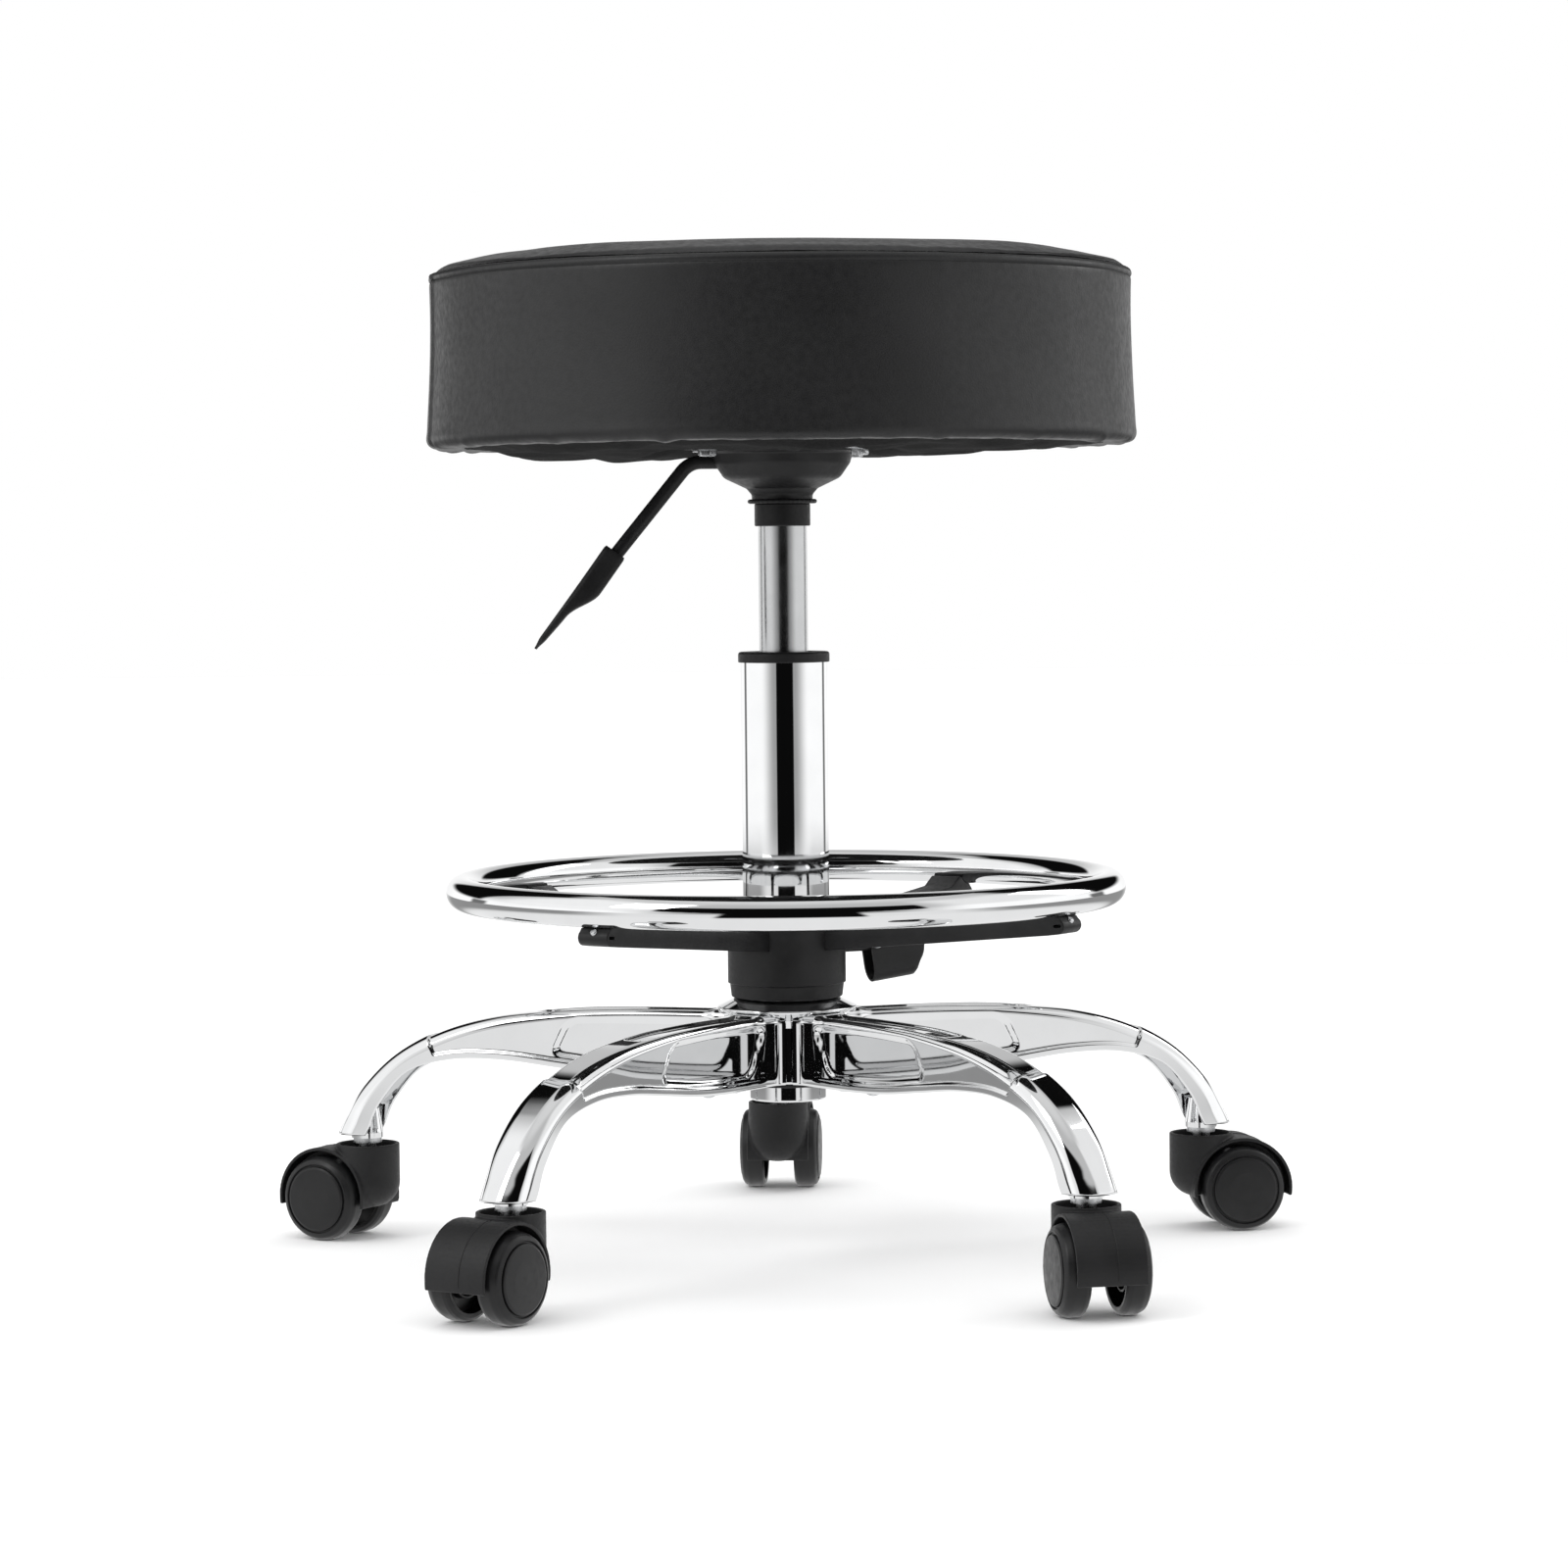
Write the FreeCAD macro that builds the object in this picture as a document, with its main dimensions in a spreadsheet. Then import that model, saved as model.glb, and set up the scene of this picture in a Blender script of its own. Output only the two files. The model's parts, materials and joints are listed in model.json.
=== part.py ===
import FreeCAD, Part
import math
import os
import re
import Sketcher

# Adjustable swivel stool on five twin-wheel casters.
# Millimetres and degrees.  The origin is on the column's axis at floor level, +Z is up, and one leg of
# the star base points along +Y.

SIZES = {
    # column and gas lift
    "column_radius": 25.0,
    "column_wall": 1.5,
    "column_high": 342.0,
    "spigot_radius": 22.0,
    "spigot_low": 90.0,
    "spigot_rise": 2.0,
    "bush_low": 252.0,
    "collar_radius": 26.3,
    "collar_high": 348.0,
    "running_gap": 0.06,
    "cylinder_radius": 14.0,
    "cylinder_wall": 1.6,
    "cylinder_low": 190.0,
    "gland_height": 14.0,
    "chamber_high": 400.0,
    "taper_low": 425.0,
    "taper_high": 447.0,
    "taper_narrowing": 0.6,
    "rod_radius": 5.0,
    "rod_low": 88.0,
    "piston_low": 270.0,
    "piston_height": 12.0,
    "plate_low": 94.0,
    "plate_thick": 4.0,
    "ball_radius": 1.9,
    "ball_circle": 8.0,
    "race_low": 102.0,
    "race_thick": 2.0,
    "race_radius": 11.0,
    "clip_radius": 9.0,
    "clip_thick": 1.2,
    "pin_radius": 3.5,
    "pin_low": 438.0,
    "pin_high": 452.3,
    # star base
    "hub_radius": 29.0,
    "hub_low": 101.2,
    "hub_shoulder_radius": 41.0,
    "hub_shoulder_low": 138.0,
    "hub_shoulder_high": 144.0,
    "hub_top_radius": 30.0,
    "hub_high": 149.0,
    "hub_ring_radius": 26.2,
    "hub_ring_thick": 2.4,
    "leg_wall": 2.0,
    "leg_plate_start": 31.0,
    "leg_plate_end": 90.0,
    "leg_plate_low": 101.0,
    "leg_plate_width": 21.0,
    "boss_height": 7.0,
    "boss_radius": 4.0,
    "screw_radius": 2.0,
    "screw_head_radius": 4.6,
    "screw_head_height": 2.7,
    "screw_inner_place": 53.0,
    "screw_outer_place": 79.0,
    "stem_circle": 260.8,
    "stem_radius": 5.5,
    "stem_low": 31.0,
    "stem_high": 74.0,
    "stem_collar_radius": 8.5,
    "stem_collar_low": 57.6,
    "socket_low": 60.6,
    "socket_high": 78.0,
    "socket_radius": 9.5,
    "socket_top_radius": 7.0,
    # casters
    "wheel_radius": 25.0,
    "wheel_width": 16.3,
    "wheel_gap": 18.8,
    "wheel_crown": 2.5,
    "cap_radius": 19.5,
    "cap_groove": 1.2,
    "axle_radius": 3.0,
    "trail": 21.0,
    "hood_radius": 30.0,
    "hood_clearance": 3.0,
    "hood_half_width": 19.5,
    "hood_web_gap": 0.5,
    "hood_high": 57.0,
    "hood_low": 19.2,
    "fender_low": 20.0,
    "cup_radius": 18.8,
    "cup_wall": 2.2,
    "cup_depth": 6.0,
    # foot ring
    "ring_radius": 186.0,
    "ring_tube_radius": 9.5,
    "ring_tube_wall": 1.5,
    "ring_height": 212.0,
    "ring_hub_radius": 34.0,
    "ring_hub_low": 149.6,
    "ring_hub_high": 204.0,
    "ring_hub_foot_radius": 32.0,
    "ring_hub_step": 157.0,
    "bush_radius": 30.0,
    "arm_width": 20.0,
    "arm_height": 11.0,
    "arm_wall": 2.0,
    "arm_root_height": 177.5,
    "arm_slope": 5.4,
    "arm_end": 190.0,
    "saddle_length": 22.0,
    "saddle_height": 9.0,
    "first_arm_turn": 55.0,
    # foot ring clamp
    "clamp_turn": 27.0,
    "clamp_pivot_place": 56.0,
    "clamp_pivot_height": 179.0,
    "clamp_pin_radius": 2.5,
    "clamp_pin_length": 17.0,
    "lug_width": 8.0,
    "lug_height": 12.0,
    "trough_width": 13.0,
    "trough_wall": 1.5,
    # seat bracket and release lever
    "sleeve_low": 420.0,
    "sleeve_radius": 16.0,
    "bracket_low": 433.2,
    "bracket_neck_radius": 17.5,
    "bracket_neck_high": 438.0,
    "bracket_high": 465.0,
    "bracket_rim_radius": 44.0,
    "bracket_rim_thick": 2.0,
    "bracket_plate_width": 112.0,
    "bracket_plate_thick": 2.0,
    "bracket_plate_round": 12.0,
    "bolt_place": 43.0,
    "bolt_radius": 3.0,
    "bolt_head_radius": 5.5,
    "bolt_head_height": 4.0,
    "washer_radius": 8.0,
    "washer_thick": 1.5,
    "bolt_reach": 12.0,
    "nut_radius": 4.0,
    "nut_flange_radius": 9.0,
    "nut_flange_thick": 1.5,
    "lever_radius": 4.0,
    "lever_height": 457.0,
    "lever_pivot_place": 32.0,
    "lever_pin_radius": 2.0,
    "lever_pin_length": 14.4,
    "ear_gap": 9.2,
    "ear_thick": 2.4,
    "ear_length": 8.0,
    "ear_low": 453.0,
    "slot_low": 450.0,
    "slot_length": 16.0,
    "grip_width": 22.0,
    # seat
    "dust_cover_thick": 1.5,
    "dust_cover_radius": 180.0,
    "board_radius": 197.0,
    "board_thick": 12.0,
    "cover_thick": 1.2,
    "cover_low_radius": 202.2,
    "cover_seam_radius": 199.2,
    "cover_seam_height": 560.0,
    "cover_top_radius": 186.0,
    "seat_high": 571.5,
    "hem_radius": 182.0,
}

LEG_COUNT = 5
ARM_COUNT = 4
BALL_COUNT = 8
# The way each caster trails, seen from above and counted from +X; the casters follow the legs, which
# start at +Y and go round anticlockwise.
CASTER_TRAILS = (84.0, 149.0, 235.5, 281.0, 8.0)

# Side view of a leg, as (crest reach, crest height, lip reach, lip height, width, shoulder radius).
# The lip is the open lower edge of the pressed channel.
LEG_SECTIONS = (
    (27.0, 141.5, 27.0, 101.0, 26.0, 5.0),
    (80.0, 142.0, 80.0, 101.0, 27.0, 5.0),
    (135.0, 140.3, 137.0, 106.0, 28.0, 6.0),
    (175.0, 136.0, 171.0, 110.0, 29.0, 7.5),
    (209.0, 127.0, 202.5, 109.5, 29.0, 9.0),
    (238.0, 112.0, 230.0, 101.5, 29.0, 9.0),
    (260.0, 92.0, 247.5, 82.5, 29.0, 10.0),
    (272.5, 72.0, 256.0, 63.5, 29.0, 12.0),
    (278.5, 60.5, 257.5, 60.5, 29.0, 12.5),
)

# Centre line of the release lever's rod, as (reach along -X from the column's axis, height).
LEVER_ROUTE = ((-3.0, 457.0), (45.0, 457.0), (52.0, 454.8), (57.0, 450.0), (108.0, 389.5))
# Side view of the lever's grip, the same way.
GRIP_OUTLINE = ((101.0, 409.5), (90.3, 402.1), (105.3, 381.1), (124.3, 369.3), (141.7, 350.7), (143.6, 352.6))

# Outside and inside of the bracket's pressed bowl between its neck and its rim, as (radius, height).
BOWL_OUTSIDE = ((39.2, 456.0), (33.4, 447.6), (20.5, 441.5))
BOWL_INSIDE = ((31.5, 450.0), (37.0, 457.5), (39.8, 465.0))

# Side view of the clamp's trough, as (reach, height); its bottom and outer end are closed.
TROUGH_OUTLINE = ((50.0, 175.0), (60.0, 160.0), (65.0, 158.0), (84.0, 158.0), (88.0, 161.0), (88.0, 184.0),
                  (50.0, 184.0))

doc = FreeCAD.newDocument("swivel_stool")
sheet = doc.addObject("Spreadsheet::Sheet", "sizes")
for row, (alias, amount) in enumerate(SIZES.items(), start=1):
    sheet.set(f"A{row}", alias)
    sheet.set(f"B{row}", str(amount))
    sheet.setAlias(f"B{row}", alias)
doc.recompute()

parts = []


def size(alias):
    """One number from the sheet."""
    return float(sheet.get(alias))


def in_sheet(formula):
    """A formula with each of the sheet's names written the way an expression needs it."""
    def in_full(word):
        return "sizes." + word.group(0) if word.group(0) in SIZES else word.group(0)

    return re.sub(r"[a-z_]+", in_full, str(formula))


def bind(thing, **formulas):
    """Bind properties of a document object to formulas in the sheet's names."""
    for name, formula in formulas.items():
        thing.setExpression(name, in_sheet(formula))
    return thing


def place(thing, at):
    """Bind a document object's position to three formulas."""
    for axis, formula in zip("xyz", at):
        thing.setExpression(f"Placement.Base.{axis}", in_sheet(formula))
    return thing


def keep(thing, label):
    """Take a document object as one of the stool's parts."""
    thing.Label = label
    parts.append(thing)
    return thing


def origin_plane(body, role):
    """One of a body's own origin planes."""
    return [feature for feature in body.Origin.OriginFeatures if feature.Role == role][0]


def pinned_sketch(body, name, role, outline, closed=True):
    """A sketch of straight lines whose corners are each held by two bound distances."""
    sketch = body.newObject("Sketcher::SketchObject", name)
    sketch.AttachmentSupport = [(origin_plane(body, role), "")]
    sketch.MapMode = "FlatFace"
    count = len(outline)
    lines = count if closed else count - 1
    start = [FreeCAD.Vector(math.cos(2 * math.pi * k / count), math.sin(2 * math.pi * k / count), 0)
             for k in range(count)]
    for k in range(lines):
        sketch.addGeometry(Part.LineSegment(start[k], start[(k + 1) % count]), False)
    for k in range(lines if closed else lines - 1):
        sketch.addConstraint(Sketcher.Constraint("Coincident", k, 2, (k + 1) % count, 1))
    for k, corner in enumerate(outline):
        line, end = (k, 1) if k < lines else (k - 1, 2)
        for kind, formula, guess in zip(("DistanceX", "DistanceY"), corner, (start[k].x, start[k].y)):
            number = sketch.addConstraint(Sketcher.Constraint(kind, -1, 1, line, end, guess))
            sketch.setExpression(f"Constraints[{number}]", in_sheet(formula))
    return sketch


def turned(name, outline):
    """A body turned about the Z axis from an outline of (radius, height) formulas."""
    body = doc.addObject("PartDesign::Body", name)
    sketch = pinned_sketch(body, name + "_profile", "XZ_Plane", outline)
    turn = body.newObject("PartDesign::Revolution", name + "_turn")
    turn.Profile = sketch
    turn.ReferenceAxis = (sketch, ["V_Axis"])
    turn.Angle = 360.0
    return body


def padded(name, role, outline, length):
    """A body padded both ways from an outline on one of its origin planes."""
    body = doc.addObject("PartDesign::Body", name)
    sketch = pinned_sketch(body, name + "_profile", role, outline)
    pad = body.newObject("PartDesign::Pad", name + "_pad")
    pad.Profile = sketch
    pad.SideType = "Symmetric"
    bind(pad, Length=length)
    return body


def ring(name, inner, outer, low, high):
    """A plain turned ring, or a disc where the inner radius is 0."""
    return turned(name, ((inner, low), (outer, low), (outer, high), (inner, high)))


def box(name, length, width, height, at):
    """A block centred across Y, whose corner is otherwise at the place given."""
    block = bind(doc.addObject("Part::Box", name), Length=length, Width=width, Height=height)
    return place(block, (at[0], f"{at[1]} - ({width}) / 2", at[2]))


def post(name, radius, height, at, axis=(0, 0, 1)):
    """A cylinder that starts at the place given and runs along an axis."""
    cylinder = bind(doc.addObject("Part::Cylinder", name), Radius=radius, Height=height)
    cylinder.Placement.Rotation = FreeCAD.Rotation(FreeCAD.Vector(0, 0, 1), FreeCAD.Vector(*axis))
    return place(cylinder, at)


def combined(kind, name, pieces):
    """A boolean of two objects, or a fusion or common of several."""
    result = doc.addObject(kind, name)
    if kind == "Part::Cut":
        result.Base, result.Tool = pieces
    else:
        result.Shapes = pieces
    return result


def cut(name, base, tool):
    return combined("Part::Cut", name, (base, tool))


def fused(name, *pieces):
    return combined("Part::MultiFuse", name, list(pieces))


def shared(name, *pieces):
    return combined("Part::MultiCommon", name, list(pieces))


def grouped(name, pieces):
    """Several separate solids as one object."""
    group = doc.addObject("Part::Compound", name)
    group.Links = list(pieces)
    return group


def placed(name, source, turn_angle, reach=(0.0, 0.0), own_turn=0.0):
    """A copy of an object, turned about itself, moved out by reach and turned about the column's axis."""
    copy = grouped(name, [source])
    about_column = FreeCAD.Placement(FreeCAD.Vector(), FreeCAD.Rotation(FreeCAD.Vector(0, 0, 1), turn_angle))
    out = FreeCAD.Placement(FreeCAD.Vector(reach[0], reach[1], 0),
                            FreeCAD.Rotation(FreeCAD.Vector(0, 0, 1), own_turn))
    copy.Placement = about_column.multiply(out)
    return copy


def leg_turn(number):
    """Azimuth of a leg, counted from +X."""
    return 90.0 + 360.0 * number / LEG_COUNT


# ---------------------------------------------------------------- column and gas lift

def column_tube():
    inner = "column_radius - column_wall"
    spigot_inner = "spigot_radius - column_wall"
    outline = ((spigot_inner, "spigot_low"), ("spigot_radius", "spigot_low"), ("spigot_radius", "hub_low"),
               ("column_radius", "hub_low + spigot_rise"), ("column_radius", "column_high"),
               (inner, "column_high"), (inner, "hub_low + spigot_rise + column_wall / 3"),
               (spigot_inner, "hub_low + column_wall / 3"))
    keep(turned("column_tube", outline), "column_tube")


def column_bush():
    bore = "cylinder_radius + running_gap"
    inner = "column_radius - column_wall"
    outline = ((bore, "bush_low"), (inner, "bush_low"), (inner, "column_high"),
               ("collar_radius", "column_high"), ("collar_radius", "collar_high - 1"),
               ("collar_radius - 1", "collar_high"), (bore, "collar_high"))
    keep(turned("column_bush", outline), "column_bush")


def column_base():
    bore = "rod_radius + running_gap"
    plate_high = "plate_low + plate_thick"
    clip_high = "plate_low - 1"
    keep(ring("column_base_plate", bore, "spigot_radius - column_wall", "plate_low", plate_high),
         "column_base_plate")
    ball = bind(doc.addObject("Part::Sphere", "bearing_ball"), Radius="ball_radius")
    place(ball, ("0", "0", plate_high + " + ball_radius"))
    balls = [placed(f"bearing_ball_{k + 1}", ball, 360.0 * k / BALL_COUNT, (size("ball_circle"), 0.0))
             for k in range(BALL_COUNT)]
    keep(grouped("bearing_balls", balls), "bearing_balls")
    keep(ring("bearing_race", "rod_radius", "race_radius", "race_low", "race_low + race_thick"),
         "bearing_race")
    keep(ring("rod_clip", "rod_radius", "clip_radius", clip_high + " - clip_thick", clip_high), "rod_clip")


def gas_lift():
    inner = "cylinder_radius - cylinder_wall"
    top = "cylinder_radius - taper_narrowing"
    valve = "pin_radius + running_gap"
    outline = ((inner, "cylinder_low"), ("cylinder_radius", "cylinder_low"),
               ("cylinder_radius", "taper_low"), (top, "taper_high"), (valve, "taper_high"),
               (valve, "chamber_high + 4"), (inner, "chamber_high"))
    keep(turned("gas_cylinder", outline), "gas_cylinder")
    keep(ring("cylinder_gland", "rod_radius + running_gap", inner, "cylinder_low",
              "cylinder_low + gland_height"), "cylinder_gland")
    keep(ring("cylinder_sleeve", "cylinder_radius", "sleeve_radius", "sleeve_low", "bracket_low"),
         "cylinder_sleeve")
    keep(ring("piston_rod", "0", "rod_radius", "rod_low", "piston_low + piston_height + 2"), "piston_rod")
    keep(ring("piston", "rod_radius", inner + " - running_gap", "piston_low", "piston_low + piston_height"),
         "piston")
    keep(ring("valve_pin", "0", "pin_radius", "pin_low", "pin_high"), "valve_pin")


# ---------------------------------------------------------------- star base

def base_hub():
    outline = (("column_radius", "hub_low"), ("hub_radius", "hub_low"), ("hub_radius", "hub_shoulder_low"),
               ("hub_shoulder_radius", "hub_shoulder_low"), ("hub_shoulder_radius", "hub_shoulder_high"),
               ("hub_top_radius", "hub_high"), ("column_radius", "hub_high"))
    keep(ring("hub_ring", "spigot_radius", "hub_ring_radius", "hub_low - hub_ring_thick", "hub_low"),
         "hub_ring")
    return keep(turned("base_hub", outline), "base_hub")


def leg_section(crest_reach, crest_height, lip_reach, lip_height, width, shoulder):
    """One cross-section of a leg: an upside-down U of sheet with round shoulders."""
    crest = FreeCAD.Vector(crest_reach, 0, crest_height)
    down = FreeCAD.Vector(lip_reach, 0, lip_height) - crest
    depth = down.Length
    down.normalize()
    wall = size("leg_wall")
    half_turn = shoulder * (1 - math.sqrt(0.5))

    def at(across, below):
        return crest + FreeCAD.Vector(0, across, 0) + down * below

    def half(side):
        outer, inner = side * width / 2, side * (width / 2 - wall)
        small = shoulder - wall
        small_turn = small * (1 - math.sqrt(0.5))
        outside = (at(outer, depth), at(outer, shoulder), at(outer - side * half_turn, half_turn),
                   at(outer - side * shoulder, 0))
        inside = (at(inner, depth), at(inner, shoulder), at(inner - side * small_turn, wall + small_turn),
                  at(inner - side * small, wall))
        return outside, inside

    left_out, left_in = half(-1)
    right_out, right_in = half(1)
    edges = [Part.makeLine(left_out[0], left_out[1]), Part.Arc(*left_out[1:]).toShape(),
             Part.makeLine(left_out[3], right_out[3]), Part.Arc(*reversed(right_out[1:])).toShape(),
             Part.makeLine(right_out[1], right_out[0]), Part.makeLine(right_out[0], right_in[0]),
             Part.makeLine(right_in[0], right_in[1]), Part.Arc(*right_in[1:]).toShape(),
             Part.makeLine(right_in[3], left_in[3]), Part.Arc(*reversed(left_in[1:])).toShape(),
             Part.makeLine(left_in[1], left_in[0]), Part.makeLine(left_in[0], left_out[0])]
    return Part.Wire(edges)


def legs(hub):
    """Five pressed-sheet legs, each a free-form channel that no sketched feature describes."""
    sections = [leg_section(*numbers) for numbers in LEG_SECTIONS]
    shell = Part.makeLoft(sections, True, False)
    form = doc.addObject("Part::Feature", "leg_form")
    form.Shape = shell.cut(hub.Shape)
    for number in range(LEG_COUNT):
        keep(placed(f"leg_{number + 1}", form, leg_turn(number)), f"leg_{number + 1}")
    return form


def leg_plates():
    """The bottom plate of each leg's root, with two threaded bosses, and its dome-head screws."""
    high = "leg_plate_low + 2"
    plate = box("leg_plate_sheet", "leg_plate_end - leg_plate_start", "leg_plate_width", "2",
                ("leg_plate_start", "0", "leg_plate_low"))
    places = ("screw_inner_place", "screw_outer_place")
    bosses = [post(f"plate_boss_{k}", "boss_radius", "boss_height", (reach, "0", high))
              for k, reach in enumerate(places)]
    holes = [post(f"plate_hole_{k}", "screw_radius", "boss_height + 4", (reach, "0", "leg_plate_low - 1"))
             for k, reach in enumerate(places)]
    bottom = cut("leg_plate_form", fused("leg_plate_solid", plate, *bosses), fused("leg_plate_holes", *holes))
    head = "leg_plate_low - screw_head_height"
    screw = turned("leg_screw_form",
                   (("0", head), ("screw_head_radius * 0.55", head + " + 0.3"),
                    ("screw_head_radius * 0.9", head + " + 1.3"), ("screw_head_radius", "leg_plate_low"),
                    ("screw_radius", "leg_plate_low"), ("screw_radius", high + " + boss_height - 1"),
                    ("0", high + " + boss_height - 1")))
    plates, screws = [], []
    for number in range(LEG_COUNT):
        plates.append(placed(f"leg_plate_{number + 1}", bottom, leg_turn(number)))
        for k, reach in enumerate(places):
            screws.append(placed(f"leg_screw_{number + 1}_{k + 1}", screw, leg_turn(number),
                                 (size(reach), 0.0)))
    keep(grouped("leg_plates", plates), "leg_plates")
    keep(grouped("leg_screws", screws), "leg_screws")


def caster_sockets(leg):
    """Conical sockets inside the leg ends, and the stems that the casters swivel on."""
    cone = ring("socket_cone", "stem_radius", "socket_radius", "socket_low", "socket_high")
    top_trim = turned("socket_trim",
                      (("socket_radius", "socket_low + 3"), ("socket_radius + 2", "socket_low + 3"),
                       ("socket_radius + 2", "socket_high + 1"), ("socket_top_radius", "socket_high + 1")))
    lid = ring("socket_lid", "0", "socket_top_radius", "stem_high + 0.5", "socket_high")
    round_socket = fused("socket_round", cut("socket_cone_trimmed", cone, top_trim), lid)
    at_leg = placed("socket_at_leg", round_socket, 0.0, (size("stem_circle"), 0.0))
    socket = cut("socket_form", at_leg, leg)
    stem = turned("stem_form",
                  (("0", "stem_low"), ("stem_radius", "stem_low"), ("stem_radius", "stem_collar_low"),
                   ("stem_collar_radius", "stem_collar_low"), ("stem_collar_radius", "socket_low"),
                   ("stem_radius", "socket_low"), ("stem_radius", "stem_high"), ("0", "stem_high")))
    sockets = [placed(f"socket_{k + 1}", socket, leg_turn(k)) for k in range(LEG_COUNT)]
    stems = [placed(f"stem_{k + 1}", stem, leg_turn(k), (size("stem_circle"), 0.0))
             for k in range(LEG_COUNT)]
    keep(grouped("caster_sockets", sockets), "caster_sockets")
    keep(grouped("caster_stems", stems), "caster_stems")


# ---------------------------------------------------------------- casters

def caster_hood():
    """Hood of a twin-wheel caster: a cup on the stem, a fender over both wheels and a web between them.

    The stem's axis is the local Z axis, the wheels trail along local +X and the axle runs along Y."""
    across = (0, 1, 0)
    cup = post("hood_cup", "cup_radius", "hood_high - hood_low", ("0", "0", "hood_low"))
    shield_high = box("hood_shield_high", "cup_radius * 2", "cup_radius * 2",
                      "hood_high - hood_low - cup_radius", ("-cup_radius", "0", "hood_low + cup_radius"))
    shield_round = post("hood_shield_round", "cup_radius", "cup_radius * 2",
                        ("-cup_radius", "0", "hood_low + cup_radius"), (1, 0, 0))
    front = shared("hood_front", cup, fused("hood_shield", shield_high, shield_round))
    fender = post("hood_fender", "hood_radius", "hood_half_width * 2",
                  ("trail", "-hood_half_width", "wheel_radius"), across)
    below = box("hood_below", "hood_radius * 2 + 4", "hood_half_width * 2 + 2", "hood_radius + 2",
                ("trail - hood_radius - 2", "0", "fender_low - hood_radius - 2"))
    solid = fused("hood_solid", front, cut("hood_fender_trimmed", fender, below))
    well_depth = "wheel_width + 4"
    near = "wheel_gap / 2 - hood_web_gap"
    wells = [post("hood_well_left", "wheel_radius + hood_clearance", well_depth,
                  ("trail", near, "wheel_radius"), across),
             post("hood_well_right", "wheel_radius + hood_clearance", well_depth,
                  ("trail", f"-({near}) - ({well_depth})", "wheel_radius"), across)]
    recess = post("hood_recess", "cup_radius - cup_wall", "cup_depth + 1",
                  ("0", "0", "hood_high - cup_depth"))
    bore = post("hood_bore", "stem_radius + running_gap", "hood_high", ("0", "0", "stem_low - 0.5"))
    axle_hole = post("hood_axle_hole", "axle_radius", "wheel_gap + 4",
                     ("trail", "-wheel_gap / 2 - 2", "wheel_radius"), across)
    return cut("hood_form", solid, fused("hood_hollows", *wells, recess, bore, axle_hole))


def caster_wheel():
    """One wheel, turned about local Z with its outer face up: crowned tread, hub disc and groove."""
    rim = "wheel_radius - wheel_crown"
    outline = (("axle_radius + running_gap", "1.5"), ("cap_radius * 0.5", "1.5"), ("cap_radius * 0.6", "0"),
               (rim, "0"), ("wheel_radius - 0.6", "wheel_crown * 0.45"), ("wheel_radius", "wheel_crown"),
               ("wheel_radius", "wheel_width - wheel_crown * 1.4"),
               ("wheel_radius - 0.8", "wheel_width - wheel_crown * 0.7"),
               (rim, "wheel_width - 0.6"), ("cap_radius + cap_groove", "wheel_width - 0.6"),
               ("cap_radius + cap_groove", "wheel_width - 2"), ("cap_radius", "wheel_width - 2"),
               ("cap_radius", "wheel_width - 0.6"), ("cap_radius - 1.2", "wheel_width"), ("0", "wheel_width"),
               ("0", "wheel_width - 2"), ("axle_radius + running_gap", "wheel_width - 2"))
    return turned("wheel_form", outline)


def casters():
    hood = caster_hood()
    wheel = caster_wheel()
    reach = "wheel_gap / 2 + wheel_width - 2.3"
    axle = post("axle_form", "axle_radius", f"({reach}) * 2", ("trail", f"-({reach})", "wheel_radius"),
                (0, 1, 0))
    hub_side = "wheel_gap / 2"
    sides = {}
    for side, sign in (("left", 1), ("right", -1)):
        upright = grouped(f"wheel_{side}_form", [wheel])
        upright.Placement.Rotation = FreeCAD.Rotation(FreeCAD.Vector(0, 0, 1), FreeCAD.Vector(0, sign, 0))
        sides[side] = place(upright, ("trail", f"{sign} * ({hub_side})", "wheel_radius"))
    forms = {"hood": hood, "axle": axle, "wheel_left": sides["left"], "wheel_right": sides["right"]}
    for number, trail_turn in enumerate(CASTER_TRAILS):
        turn = leg_turn(number)
        for piece, form in forms.items():
            name = f"caster_{number + 1}_{piece}"
            keep(placed(name, form, turn, (size("stem_circle"), 0.0), trail_turn - turn), name)


# ---------------------------------------------------------------- foot ring

def foot_ring():
    tube_outer = bind(doc.addObject("Part::Torus", "ring_outer"), Radius1="ring_radius",
                      Radius2="ring_tube_radius")
    tube_inner = bind(doc.addObject("Part::Torus", "ring_inner"), Radius1="ring_radius",
                      Radius2="ring_tube_radius - ring_tube_wall")
    for torus in (tube_outer, tube_inner):
        place(torus, ("0", "0", "ring_height"))
    keep(cut("foot_ring_tube", tube_outer, tube_inner), "foot_ring_tube")
    keep(ring("ring_bush", "column_radius + running_gap", "bush_radius", "ring_hub_low", "ring_hub_high"),
         "ring_bush")
    ring_hub()
    ring_arms(tube_outer)
    clamp()


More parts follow.
